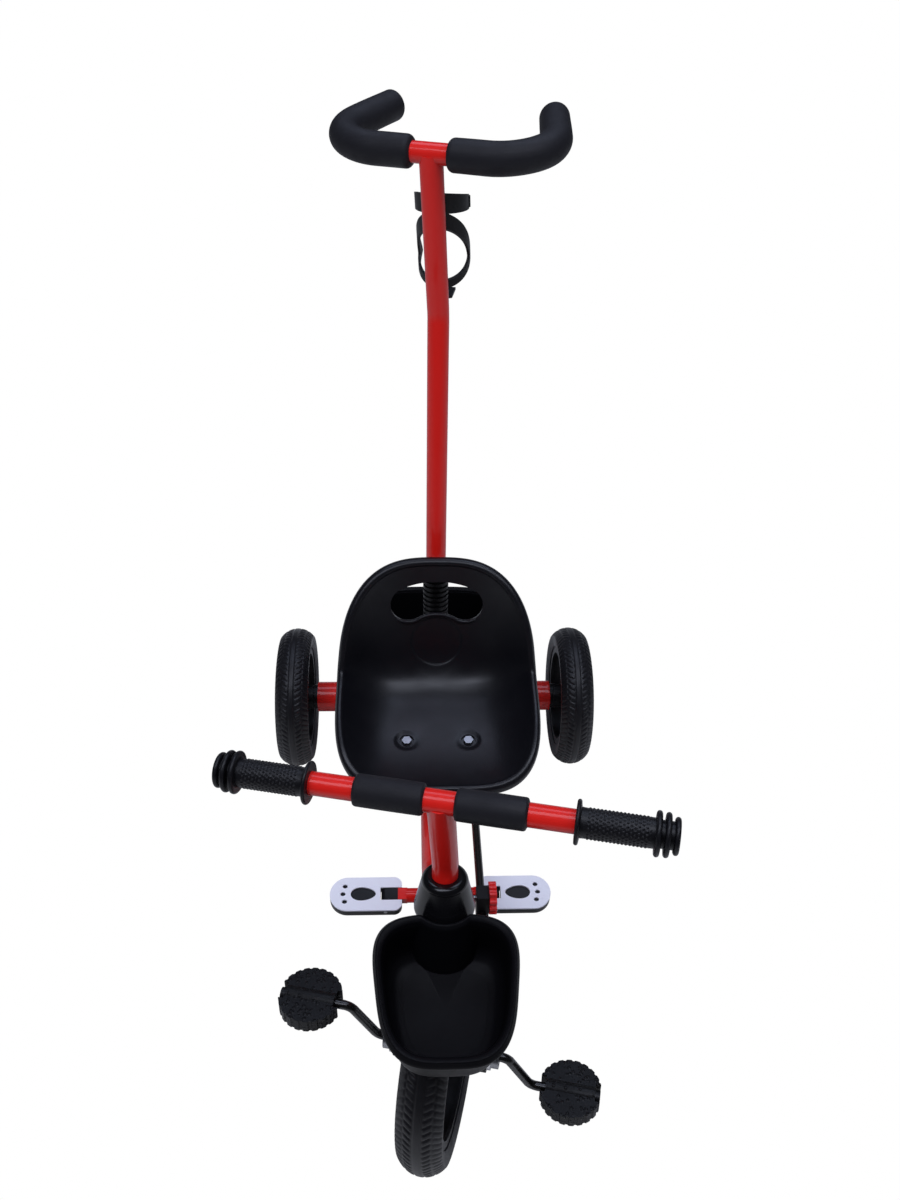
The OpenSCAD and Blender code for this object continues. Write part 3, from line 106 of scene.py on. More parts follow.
@dataclass(frozen=True)
class Finish:
    """A real material and the way it was made.

    Attributes:
        name: The material's name.
        colour: sRGB hex colour.
        rough: Roughness of the surface.
        metal: 1 for bare metal, 0 for the rest.
        coat: Share of clear lacquer on top.
        grain: Kind of fine relief.
        pitch: Size of the relief in mm, drawn coarser than a real moulded grain so that it shows.
        depth: Depth of the relief in mm.
        ior: Index of refraction.
        spec: Strength of the base's own mirror, with half for plain plastic.
    """

    name: str
    colour: str
    rough: float
    metal: float = 0.0
    coat: float = 0.0
    grain: Grain = Grain.NONE
    pitch: float = 1.0
    depth: float = 0.02
    ior: float = 1.5
    spec: float = 0.5

    def material(self) -> bpy.types.Material:
        """Build the Blender material.

        Returns:
            A material with a principled surface and, where it has a grain, fine relief and uneven gloss.
        """
        made = bpy.data.materials.new(self.name)
        made.use_nodes = True
        tree = made.node_tree
        surface = tree.nodes["Principled BSDF"]
        values = {
            "Base Color": linear(self.colour),
            "Roughness": self.rough,
            "Metallic": self.metal,
            "IOR": self.ior,
            "Specular IOR Level": self.spec,
            "Coat Weight": self.coat,
            "Coat Roughness": COAT_ROUGH,
        }
        for socket, value in values.items():
            surface.inputs[socket].default_value = value
        if self.grain is not Grain.NONE:
            self._relief(tree, surface)
        return made

    def _relief(self, tree: bpy.types.NodeTree, surface: bpy.types.Node) -> None:
        """Add fine relief and an uneven gloss that follow the object's own coordinates.

        Args:
            tree: The material's node tree.
            surface: Its principled node.
        """
        where = add_node(tree, "ShaderNodeTexCoord").outputs["Object"]
        stretch = (1, 1, DRAWN_SHARE) if self.grain is Grain.BRUSH else (1, 1, 1)
        spread = add_node(tree, "ShaderNodeMapping", {"Vector": where}, {"Scale": stretch}).outputs[0]
        scale = 1 / (self.pitch * MM)
        if self.grain in (Grain.CELL, Grain.DOTS):
            cells = add_node(tree, "ShaderNodeTexVoronoi", {"Vector": spread}, {"Scale": scale})
            height = cells.outputs["Distance"]
        else:
            noise = {"Scale": scale, "Detail": GRAIN_OCTAVES, "Roughness": GRAIN_KEEP_SHARE}
            height = add_node(tree, "ShaderNodeTexNoise", {"Vector": spread}, noise).outputs["Fac"]
        if self.grain is Grain.DOTS:
            edge = {"From Min": PIP_SHARES[0], "From Max": PIP_SHARES[1], "To Min": 1.0, "To Max": 0.0}
            height = add_node(tree, "ShaderNodeMapRange", {"Value": height}, edge).outputs[0]
        rise = {"Strength": 1.0, "Distance": self.depth * MM}
        bump = add_node(tree, "ShaderNodeBump", {"Height": height}, rise)
        tree.links.new(bump.outputs[0], surface.inputs["Normal"])
        clouds = {"Scale": 1 / (CLOUD * MM), "Detail": CLOUD_OCTAVES}
        broad = add_node(tree, "ShaderNodeTexNoise", {"Vector": where}, clouds).outputs["Fac"]
        span = {
            "From Min": CLOUD_SPAN[0],
            "From Max": CLOUD_SPAN[1],
            "To Min": self.rough * (1 - CLOUD_SHARE),
            "To Max": min(1.0, self.rough * (1 + CLOUD_SHARE)),
        }
        gloss = add_node(tree, "ShaderNodeMapRange", {"Value": broad}, span)
        tree.links.new(gloss.outputs[0], surface.inputs["Roughness"])


def add_node(
    tree: bpy.types.NodeTree, kind: str, links: dict | None = None, values: dict | None = None
) -> bpy.types.Node:
    """Add one shader node, joined and set.

    Args:
        tree: The node tree.
        kind: Blender's name for the node.
        links: Input names and the sockets that feed them.
        values: Input names and their constants.

    Returns:
        The new node.
    """
    node = tree.nodes.new(kind)
    for name, socket in (links or {}).items():
        tree.links.new(socket, node.inputs[name])
    for name, value in (values or {}).items():
        node.inputs[name].default_value = value
    return node


FINISHES = {
    # A thick gloss coat with a faint orange peel: crisp highlights along the tubes.
    "red_paint": Finish(
        "steel_tube_red_powder_coat", "c61812", 0.42,
        coat=0.5, grain=Grain.PEEL, pitch=1.6, depth=0.012, spec=0.2,
    ),
    # Mirror-bright plating: it picks up the lamps in streaks.
    "chrome": Finish("steel_strap_chrome_plated", "d6d6d8", 0.14, metal=1.0),
    # Dull bright metal with fine drawn lines.
    "zinc": Finish(
        "steel_zinc_plated", "a4a5a9", 0.36, metal=1.0, grain=Grain.BRUSH, pitch=0.5, depth=0.01
    ),
    # Flat silver face of the footrests: pale and even, hardly any mirror.
    "silver_plate": Finish(
        "abs_plate_silver_sprayed", "d4d6e4", 0.45, grain=Grain.SPARK, pitch=0.5, depth=0.006
    ),
    # Moulded black with a satin grain: broad soft sheen.
    "black_plastic": Finish(
        "polypropylene_moulded_satin", "0a0a0d", 0.44, grain=Grain.SPARK, pitch=0.7, depth=0.02, spec=0.36
    ),
    # Moulded basket: the black plastic made a touch darker and given little mirror, painted shade so that its
    # floor stays dark under the lamps as if shadowed.
    "basket_plastic_painted_shade": Finish(
        "polypropylene_moulded_painted_shade", "08080b", 0.44, grain=Grain.SPARK, pitch=0.7, depth=0.02, spec=0.1
    ),
    # Moulded seat: shinier than the baskets.
    "seat_plastic": Finish(
        "polypropylene_moulded_semi_gloss", "0b0b10", 0.36, grain=Grain.SPARK, pitch=0.8, depth=0.018
    ),
    # Dusty matte black of a moulded tyre.
    "tyre_black": Finish(
        "eva_tyre_moulded", "101014", 0.44, grain=Grain.SPARK, pitch=0.9, depth=0.03, spec=0.42
    ),
    # Soft PVC with a low sheen.
    "grip_rubber": Finish(
        "pvc_grip_moulded", "0b0b0f", 0.42, grain=Grain.SPARK, pitch=0.6, depth=0.02, spec=0.4
    ),
    # Closed-cell foam: slightly blue dark grey with hardly any mirror.
    "foam": Finish(
        "nbr_foam_closed_cell", "17171c", 0.6, grain=Grain.CELL, pitch=0.9, depth=0.05, spec=0.3
    ),
    # Black coat on the bent rods: shinier than the plastic.
    "black_paint": Finish(
        "steel_rod_black_powder_coat", "0e0d0c", 0.28, coat=0.4, grain=Grain.PEEL, pitch=1.2, depth=0.01
    ),
    # Bright glossy knob.
    "red_plastic": Finish(
        "abs_moulded_red_gloss", "d02526", 0.25, grain=Grain.PEEL, pitch=2.0, depth=0.008
    ),
}

# Anti-slip face of the pedals: pips that catch small glints.
PIPS = Finish(
    "polypropylene_moulded_pips", "08080a", 0.46, grain=Grain.DOTS, pitch=5.5, depth=0.45, spec=0.3
)
# Bell over the head: a smooth black moulding with clear glints.
GLOSS = Finish("abs_moulded_black_gloss", "09090c", 0.2, grain=Grain.PEEL, pitch=3.0, depth=0.01)
# CAD nodes that differ from the rest of their slot.
OWN_FINISHES = {"pedal_left": PIPS, "pedal_right": PIPS, "head_cover": GLOSS}

# Hinge lugs moulded on the ends of the red footrest tube: from this many mm out it is black.
LUG_TUBE = "footrest_tube"
LUG_X = 47.5


# Placing and skins


@dataclass(frozen=True)
class Place:
    """An origin in metres and a turn, to set shapes drawn in mm.

    Attributes:
        origin: Three numbers in metres, in the row frame.
        turn: Three by three rotation.
    """

    origin: np.ndarray
    turn: np.ndarray

    def put(self, points: np.ndarray) -> np.ndarray:
        """Set points drawn in mm into the row frame."""
        return self.origin + (points * MM) @ self.turn.T

    def at(self, x: float, y: float, z: float) -> "Place":
        """Move along this place's own axes, in mm."""
        return Place(self.put(np.array([x, y, z])), self.turn)

    def turned(self, turn: np.ndarray) -> "Place":
        """Turn about this place's own origin."""
        return Place(self.origin, self.turn @ turn)


def about_x(degrees: float) -> np.ndarray:
    """Rotation about X."""
    c, s = math.cos(math.radians(degrees)), math.sin(math.radians(degrees))
    return np.array([[1, 0, 0], [0, c, -s], [0, s, c]])


def about_z(degrees: float) -> np.ndarray:
    """Rotation about Z."""
    c, s = math.cos(math.radians(degrees)), math.sin(math.radians(degrees))
    return np.array([[c, -s, 0], [s, c, 0], [0, 0, 1]])


def smooth(low: float, high: float, value: np.ndarray) -> np.ndarray:
    """Ease from 0 at low to 1 at high."""
    t = np.clip((value - low) / (high - low), 0, 1)
    return t * t * (3 - 2 * t)


def round_cos(a: np.ndarray, n: float | np.ndarray) -> np.ndarray:
    """Cosine squared off by a superellipse's exponent."""
    return np.sign(np.cos(a)) * np.abs(np.cos(a)) ** (2 / n)


def round_sin(a: np.ndarray, n: float | np.ndarray) -> np.ndarray:
    """Sine squared off by a superellipse's exponent."""
    return np.sign(np.sin(a)) * np.abs(np.sin(a)) ** (2 / n)


def around(count: int) -> np.ndarray:
    """Angles in radians of evenly spaced points round a ring."""
    return np.arange(count) * 2 * np.pi / count


def arc(x: float, y: float, r: float, start: float, end: float, count: int) -> np.ndarray:
    """Points of an arc as [x, y], with angles in radians clockwise from +Y."""
    a = np.linspace(start, end, count)
    return np.column_stack([x + r * np.sin(a), y + r * np.cos(a)])


def through(knots: np.ndarray, count: int) -> np.ndarray:
    """Smooth curve through knots, by cubic pieces that pass each one with its neighbours' slope.

    Args:
        knots: Points that the curve passes, in order.
        count: Points of the curve.

    Returns:
        The curve's points, spaced evenly between each two knots.
    """
    padded = np.vstack([2 * knots[0] - knots[1], knots, 2 * knots[-1] - knots[-2]])
    # A hair short of the end, so that the last point still falls in the last piece.
    hair = 1e-9
    t = np.linspace(0, len(knots) - 1 - hair, count)
    i = t.astype(int)
    f = (t - i)[:, None]
    p0, p1, p2, p3 = (padded[i + q] for q in range(4))
    slope = p2 - p0
    curve = 2 * p0 - 5 * p1 + 4 * p2 - p3
    twist = 3 * p1 - p0 - 3 * p2 + p3
    return 0.5 * (2 * p1 + slope * f + curve * f**2 + twist * f**3)


def skin(name: str, rings: np.ndarray, poles: tuple | None, sharp: float = 40) -> bpy.types.Object:
    """Make a closed mesh from rings of points.

    Each ring joins the next by quads. With poles the first and last rings close to a point each; without
    them the last ring joins the first, as on a tyre.

    Args:
        name: The piece's name.
        rings: Array of rings, points and three coordinates, in metres.
        poles: The two end points, or None.
        sharp: Angle in degrees above which an edge stays crisp.

    Returns:
        The new object, linked to the scene.
    """
    m, n = rings.shape[:2]
    points = rings.reshape(-1, 3)
    j = np.arange(m if poles is None else m - 1)[:, None]
    i = np.arange(n)[None, :]
    k, up = (i + 1) % n, (j + 1) % m
    quads = np.stack([j * n + i, j * n + k, up * n + k, up * n + i], -1).reshape(-1, 4)
    fans = np.zeros((0, 3), int)
    if poles is not None:
        points = np.vstack([points, poles[0], poles[1]])
        first = np.stack([np.full(n, m * n), np.roll(np.arange(n), -1), np.arange(n)], -1)
        last = (m - 1) * n + np.arange(n)
        end = np.stack([np.full(n, m * n + 1), last, np.roll(last, -1)], -1)
        fans = np.vstack([first, end])
    # The sign of the volume tells whether the faces point out.
    tris = np.vstack([quads[:, [0, 1, 2]], quads[:, [0, 2, 3]], fans])
    a, b, c = (points[tris[:, q]] for q in range(3))
    if np.einsum("ij,ij->i", a, np.cross(b, c)).sum() < 0:
        quads, fans = quads[:, ::-1], fans[:, ::-1]
    loops = np.concatenate([quads.ravel(), fans.ravel()]).astype(np.int32)
    totals = np.concatenate([np.full(len(quads), 4), np.full(len(fans), 3)]).astype(np.int32)
    starts = np.concatenate([[0], np.cumsum(totals)[:-1]]).astype(np.int32)
    mesh = bpy.data.meshes.new(name)
    mesh.vertices.add(len(points))
    mesh.vertices.foreach_set("co", points.astype(np.float32).ravel())
    mesh.loops.add(len(loops))
    mesh.loops.foreach_set("vertex_index", loops)
    mesh.polygons.add(len(totals))
    mesh.polygons.foreach_set("loop_start", starts)
    mesh.update(calc_edges=True)
    mesh.validate()
    smooth_over(mesh, sharp)
    made = bpy.data.objects.new(name, mesh)
    bpy.context.scene.collection.objects.link(made)
    LOG.info("%s: %d points, %d faces", name, len(points), len(totals))
    return made


def smooth_over(mesh: bpy.types.Mesh, sharp: float) -> None:
    """Shade a mesh smooth but for edges sharper than an angle in degrees."""
    mesh.polygons.foreach_set("use_smooth", np.ones(len(mesh.polygons), bool))
    mesh.set_sharp_from_angle(angle=math.radians(sharp))


def prism(name: str, place: Place, outline: np.ndarray, low: float, high: float) -> bpy.types.Object:
    """Make an upright prism.

    Args:
        name: The piece's name.
        place: Frame of the outline.
        outline: Points in mm as [x, y], all in sight of their mean.
        low: Height of the underside in mm.
        high: Height of the top in mm.

    Returns:
        The new object.
    """
    middle = outline.mean(0)
    rings = np.stack([np.column_stack([outline, np.full(len(outline), z)]) for z in (low, high)])
    return skin(name, place.put(rings), tuple(place.put(np.array([*middle, z])) for z in (low, high)))


def carve(made: bpy.types.Object, tools: list[tuple[str, bpy.types.Object]], sharp: float) -> None:
    """Join tools to a piece or cut them out of it, then drop the tools.

    Args:
        made: The piece.
        tools: Blender's name of each operation, and its tool.
        sharp: Angle in degrees above which an edge stays crisp.
    """
    for kind, tool in tools:
        step = made.modifiers.new(tool.name, "BOOLEAN")
        step.object, step.operation, step.solver = tool, kind, "MANIFOLD"
    bpy.context.view_layer.update()
    ready = bpy.data.meshes.new_from_object(made.evaluated_get(bpy.context.evaluated_depsgraph_get()))
    made.modifiers.clear()
    made.data = ready
    smooth_over(ready, sharp)
    for _, tool in tools:
        bpy.data.objects.remove(tool)


def tube(path: np.ndarray, side: np.ndarray, up: np.ndarray, radii: np.ndarray, sides: int) -> np.ndarray:
    """Carry a circle of changing radius along a path, by cosine aside and sine up.

    Args:
        path: Points of the middle line, in mm.
        side: Unit way aside at each point.
        up: Unit way up at each point.
        radii: Radius at each point.
        sides: Points round each ring.

    Returns:
        Rings as an array of path points, sides and coordinates.
    """
    a = around(sides)
    out = side[:, None] * np.cos(a)[None, :, None] + up[:, None] * np.sin(a)[None, :, None]
    return path[:, None] + out * radii[:, None, None]


def aside(path: np.ndarray, up: np.ndarray) -> np.ndarray:
    """Way aside at each point of a path, square to its run and to the way up."""
    step = np.gradient(path, axis=0)
    return np.cross(step / np.linalg.norm(step, axis=1, keepdims=True), up)


def dress(made: bpy.types.Object, body: str, slot: str, stands_for: str, looks: Looks) -> bpy.types.Object:
    """Paint a new piece, fix it to its body and let it stand for its CAD node.

    Args:
        made: The new piece.
        body: The CAD body it rides on.
        slot: The record's material slot.
        stands_for: The CAD node that it replaces.
        looks: Materials by slot.

    Returns:
        The same piece.
    """
    made.data.materials.clear()
    made.data.materials.append(looks[slot])
    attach(made, body)
    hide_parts(stands_for)
    return made


# Pieces


@dataclass
class Piece:
    """A shape that stands for a CAD node.

    Attributes:
        name: Name of the piece.
        node: CAD node that it stands for.
        body: CAD body that it rides on.
        place: Frame in which it is drawn.
    """

    name: str
    node: str
    body: str
    place: Place

    def build(self, looks: Looks) -> None:
        """Build the shape and fix it to its body."""
        raise NotImplementedError


@dataclass
class TreadTyre(Piece):
    """Moulded tyre with a smooth middle rib, two rows of slanted slots and shoulder blocks.

    It is drawn from the wheel's middle, with X along the axle.

    Attributes:
        d: Outer diameter in mm.
        w: Width in mm.
        h: Height from rim to tread in mm.
        crown_share: Radius of the crown over the width.
        bead_share: Width at the rim over the whole width.
        tread_share: Depth down to which the crown has cuts, over the width.
        bulge: How far the sidewalls swell out, in mm.
        line_deep: Depth of the moulded line round each sidewall in mm.
        line_shares: Place of that line down the wall, and its width, over the wall's height.
        wall_start_share: First step down the wall, over its height.
        grooves: Depth of each groove in mm, and its place over the half width.
        groove_share: Width of the grooves over the half width.
        row_shares: Where each row of slots starts, is full, ends and is gone, over the half width.
        slot_pitch: Spacing of the slots round the tyre in mm.
        slot_deep: Depth of the slots in mm.
        slot_shares: Heights of a sine wave between which a slot's wall falls.
        leans: Slant of the middle and of the shoulder slots, in radians of that wave over the half width.
        crown_steps: Points across the crown.
        wall_steps: Points down each wall.
        turns: Points round the tyre.
        sharp: Angle in degrees above which an edge stays crisp.
    """

    d: float
    w: float
    h: float = 27.0
    crown_share: float = 0.62
    bead_share: float = 0.86
    tread_share: float = 0.27
    bulge: float = 1.1
    line_deep: float = 0.4
    line_shares: tuple[float, float] = (0.45, 0.05)
    wall_start_share: float = 0.06
    grooves: tuple = ((1.2, 0.2), (0.9, 0.62))
    groove_share: float = 0.035
    row_shares: tuple = ((0.24, 0.28, 0.55, 0.59), (0.66, 0.7, 0.97, 1.02))
    slot_pitch: float = 8.0
    slot_deep: float = 1.0
    slot_shares: tuple[float, float] = (0.25, 0.75)
    leans: tuple[float, float] = (9.9, -11.7)
    crown_steps: int = 45
    wall_steps: int = 8
    turns: int = 720
    sharp: float = 50.0

    def section(self) -> np.ndarray:
        """Outline of the tyre from one bead to the other.

        The crown is an arc. Each wall is a straight line from shoulder to bead, plus half a sine wave for its
        swell, less a bell curve for its moulded line.

        Returns:
            Points as [x, r] in mm.
        """
        half, r, crown = self.w / 2, self.d / 2, self.w * self.crown_share
        x = np.linspace(-half, half, self.crown_steps)
        top = np.stack([x, r - crown + np.sqrt(crown**2 - x**2)], -1)
        down = np.linspace(self.wall_start_share, 1, self.wall_steps)
        shoulder, bead = top[-1], np.array([half * self.bead_share, r - self.h])
        wall = shoulder + (bead - shoulder) * down[:, None]
        middle, width = self.line_shares
        line = self.line_deep * np.exp(-(((down - middle) / width) ** 2))
        wall[:, 0] += self.bulge * np.sin(np.pi * down) - line
        return np.vstack([wall[::-1] * [-1, 1], top, wall])

    def tread(self, x: np.ndarray, turn: np.ndarray) -> np.ndarray:
        """Depth of the tread's cuts.

        Two bell-shaped grooves run round on each side of the middle rib. Between them, and outside the outer
        one, a sine wave round the tyre, slanted across it, is squared off into slots. The shoulders' slots
        lean the other way.

        Args:
            x: Places across the tyre in mm.
            turn: Angles round it in radians.

        Returns:
            Depths in mm.
        """
        q = np.abs(x) / (self.w / 2)
        groove = sum(deep * np.exp(-(((q - at) / self.groove_share) ** 2)) for deep, at in self.grooves)
        count = round(np.pi * self.d / self.slot_pitch)
        lean = np.where(q < self.grooves[1][1], *self.leans)
        wave = np.sin(turn * count + lean * q)
        row = sum(smooth(a, b, q) * (1 - smooth(c, d, q)) for a, b, c, d in self.row_shares)
        return groove + self.slot_deep * row * smooth(*self.slot_shares, wave)

    def build(self, looks: Looks) -> None:
        """Build the tyre and fix it to its wheel.

        Args:
            looks: Materials by slot.
        """
        section = self.section()
        turn = around(self.turns)
        x = np.repeat(section[:, :1], self.turns, 1)
        r = np.repeat(section[:, 1:], self.turns, 1)
        crown = section[:, 1:] > self.d / 2 - self.w * self.tread_share
        r = r - np.where(crown, self.tread(x, turn[None, :]), 0)
        rings = np.stack([x, r * np.cos(turn), r * np.sin(turn)], -1)
        made = skin(self.name, self.place.put(rings), None, self.sharp)
        dress(made, self.body, "tyre_black", self.node, looks)


@dataclass
class FoamSleeve(Piece):
    """Foam tube on a bar: soft round ends and a slightly uneven skin.

    It is drawn from the bar's middle, with X along it.

    Attributes:
        start: Where the foam starts along X, in mm.
        run: Straight length in mm.
        d: Outer diameter in mm.
        side: 1 for the right, -1 for the left.
        turn: Turn of the corner in degrees.
        corner: Radius of the corner in mm.
        end: Straight length past the corner in mm.
        edge: Radius of the soft ends in mm.
        lumps: Lengths in mm in which each wave that makes the skin uneven turns by one radian.
        lump_sway: How far the first wave sways round the tube, in radians.
        lump_share: Height of the waves over the radius.
        step: Distance between rings in mm.
        least: Least count of rings.
        sides: Points round each ring.
        sharp: Angle in degrees above which an edge stays crisp.
    """

    start: float
    run: float
    d: float
    side: int
    turn: float = 0.0
    corner: float = 1.0
    end: float = 0.0
    edge: float = 3.5
    lumps: tuple[float, float] = (17.0, 41.0)
    lump_sway: float = 2.0
    lump_share: float = 0.012
    step: float = 1.2
    least: int = 60
    sides: int = 56
    sharp: float = 60.0

    @property
    def bow(self) -> float:
        """Length of the corner in mm."""
        return self.corner * math.radians(self.turn)

    def path(self, s: np.ndarray) -> np.ndarray:
        """Middle line: a straight run, then an arc towards +Y and a straight end.

        Args:
            s: Lengths along the line in mm.

        Returns:
            Points in mm.
        """
        bend = np.clip((s - self.run) / self.corner, 0, math.radians(self.turn))
        rest = np.clip(s - self.run - self.bow, 0, None)
        x = np.minimum(s, self.run) + self.corner * np.sin(bend) + rest * np.cos(bend)
        y = self.corner * (1 - np.cos(bend)) + rest * np.sin(bend)
        return np.stack([self.start + x, y, np.zeros(len(s))], -1)

    def build(self, looks: Looks) -> None:
        """Build the foam and fix it to the bar.

        The radius falls off in a quarter circle at each end. A product of two sine waves, along and round the
        tube, makes it uneven.

        Args:
            looks: Materials by slot.
        """
        length = self.run + self.bow + self.end
        s = np.linspace(0, length, max(self.least, int(length / self.step)))
        path = self.path(s)
        near = np.clip(s / self.edge, 0, 1)
        far = np.clip((length - s) / self.edge, 0, 1)
        radii = self.d / 2 - self.edge * (2 - np.sqrt(1 - (1 - near) ** 2) - np.sqrt(1 - (1 - far) ** 2))
        up = np.tile([0.0, 0.0, 1.0], (len(s), 1))
        a, first, second = around(self.sides), *(s[:, None] / wave for wave in self.lumps)
        lump = np.sin(first + self.lump_sway * np.cos(a)) * np.sin(second + a)
        middle = path[:, None]
        out = tube(path, aside(path, up), up, radii, self.sides) - middle
        rings = middle + out * (1 + self.lump_share * lump)[..., None]
        mirror = np.array([self.side, 1, 1])
        ends = tuple(self.place.put(p * mirror) for p in (path[0], path[-1]))
        made = skin(self.name, self.place.put(rings * mirror), ends, self.sharp)
        dress(made, self.body, "foam", self.node, looks)


@dataclass
class DottedGrip(Piece):
    """Moulded hand grip: inner flange, barrel with rows of raised dots and three end discs.

    It is drawn from the handlebar's middle, with X along it.

    Attributes:
        side: 1 for the right, -1 for the left.
        outer: Outer end along X in mm.
        length: Whole length in mm.
        d: Diameter of the barrel in mm.
        bore: Diameter of the bar in mm.
        flange: Thickness and radius of the inner flange in mm.
        discs: Start and end of each end disc, back from the outer end, and its radius, in mm.
        neck: How much lower than the barrel the necks between the discs are, in mm.
        eye: Radius of the flat at the outer end in mm.
        flare: How far the barrel flares out at the flange, and the length in which that falls off, in mm.
        barrel: Start of the barrel's rings past the flange, and their end, back from the outer end, in mm.
        step: Distance between the barrel's rings in mm.
        dots: Dots round the barrel.
        row: Distance between rows of dots in mm.
        dot_h: Height of the dots in mm.
        dot_shares: Heights of the dots' wave between which a dot's wall rises.
        dots_from: Where the dots start and are full, from the flange's face, in mm.
        dots_to: Where they fade and are gone, back from the outer end, in mm.
        edge_steps: Points round a disc's edge.
        sides: Points round each ring.
        sharp: Angle in degrees above which an edge stays crisp.
    """

    side: int
    outer: float = 209.0
    length: float = 89.0
    d: float = 26.6
    bore: float = 22.0
    flange: tuple[float, float] = (4.0, 20.0)
    discs: tuple = ((21.0, 16.0, 20.0), (13.0, 8.0, 19.5), (5.0, 0.0, 16.5))
    neck: float = 1.0
    eye: float = 5.0
    flare: tuple[float, float] = (0.5, 2.0)
    barrel: tuple[float, float] = (0.6, 21.4)
    step: float = 0.45
    dots: int = 26
    row: float = 3.3
    dot_h: float = 0.6
    dot_shares: tuple[float, float] = (0.5, 0.82)
    dots_from: tuple[float, float] = (9.0, 11.0)
    dots_to: tuple[float, float] = (27.0, 24.0)
    edge_steps: int = 11
    sides: int = 234
    sharp: float = 50.0

    @property
    def near(self) -> float:
        """Inner end along X in mm."""
        return self.outer - self.length

    def edge(self, start: float, end: float, r: float) -> np.ndarray:
        """Edge of a disc, half a circle as thick as the disc, as [x, r]."""
        half = (end - start) / 2
        return arc(start + half, r - half, half, -np.pi / 2, np.pi / 2, self.edge_steps)

    def profile(self) -> np.ndarray:
        """Outline from the bar at the flange to the flat at the outer end.

        The barrel is straight but for an exponential flare at the flange. The discs have half-round edges
        with necks between them.

        Returns:
            Points as [x, r] in mm.
        """
        full, neck = self.d / 2, self.d / 2 - self.neck
        face = self.near + self.flange[0]
        x = np.arange(face + self.barrel[0], self.outer - self.barrel[1], self.step)
        r = full + self.flare[0] * np.exp(-(x - face) / self.flare[1])
        flange = self.edge(self.near, face, self.flange[1])
        line = [[[self.near, self.bore / 2]], flange, np.column_stack([x, r])]
        for disc, foot, after in zip(self.discs, (full, neck, neck), (neck, neck, self.eye)):
            start, end = self.outer - disc[0], self.outer - disc[1]
            line += [[[start, foot]], self.edge(start, end, disc[2]), [[end, after]]]
        return np.vstack(line)

    def build(self, looks: Looks) -> None:
        """Build the grip and fix it to the handlebar.

        The dots are the product of a cosine round the barrel and a half sine along each row, squared off.
        Every second row is shifted by half a dot.

        Args:
            looks: Materials by slot.
        """
        line, a = self.profile(), around(self.sides)
        x, r = line[:, :1] + 0 * a, line[:, 1:] + 0 * a
        row = (x - self.near) / self.row
        shift = np.mod(np.floor(row), 2) * np.pi / self.dots
        across = np.cos((a[None, :] + shift) * self.dots) * 0.5 + 0.5
        down = np.sin(np.mod(row, 1) * np.pi)
        start, full = (self.near + v for v in self.dots_from)
        fade, gone = (self.outer - v for v in self.dots_to)
        dotted = smooth(start, full, x) * (1 - smooth(fade, gone, x))
        r = r + self.dot_h * dotted * smooth(*self.dot_shares, across * down)
        rings = np.stack([x * self.side, r * np.cos(a), r * np.sin(a)], -1)
        poles = tuple(self.place.put(np.array([self.side * end, 0, 0])) for end in (self.near, self.outer))
        made = skin(self.name, self.place.put(rings), poles, self.sharp)
        dress(made, self.body, "grip_rubber", self.node, looks)


@dataclass(frozen=True)
class SlotArcs:
    """Arcs of the seat's hand slot, each running smoothly into the next.

    Attributes:
        top_y: Height of the middle of the top edge's arc, above the slot's middle, in mm.
        top_turn: Half angle of that arc in radians.
        lobe_y: Height of the lobes' middles in mm.
        low_r: Radius of the low edge in mm.
        low_y: Height of the middle of the low edge's arc in mm.
        low_turn: Half angle of that arc in radians.
    """

    top_y: float
    top_turn: float
    lobe_y: float
    low_r: float
    low_y: float
    low_turn: float


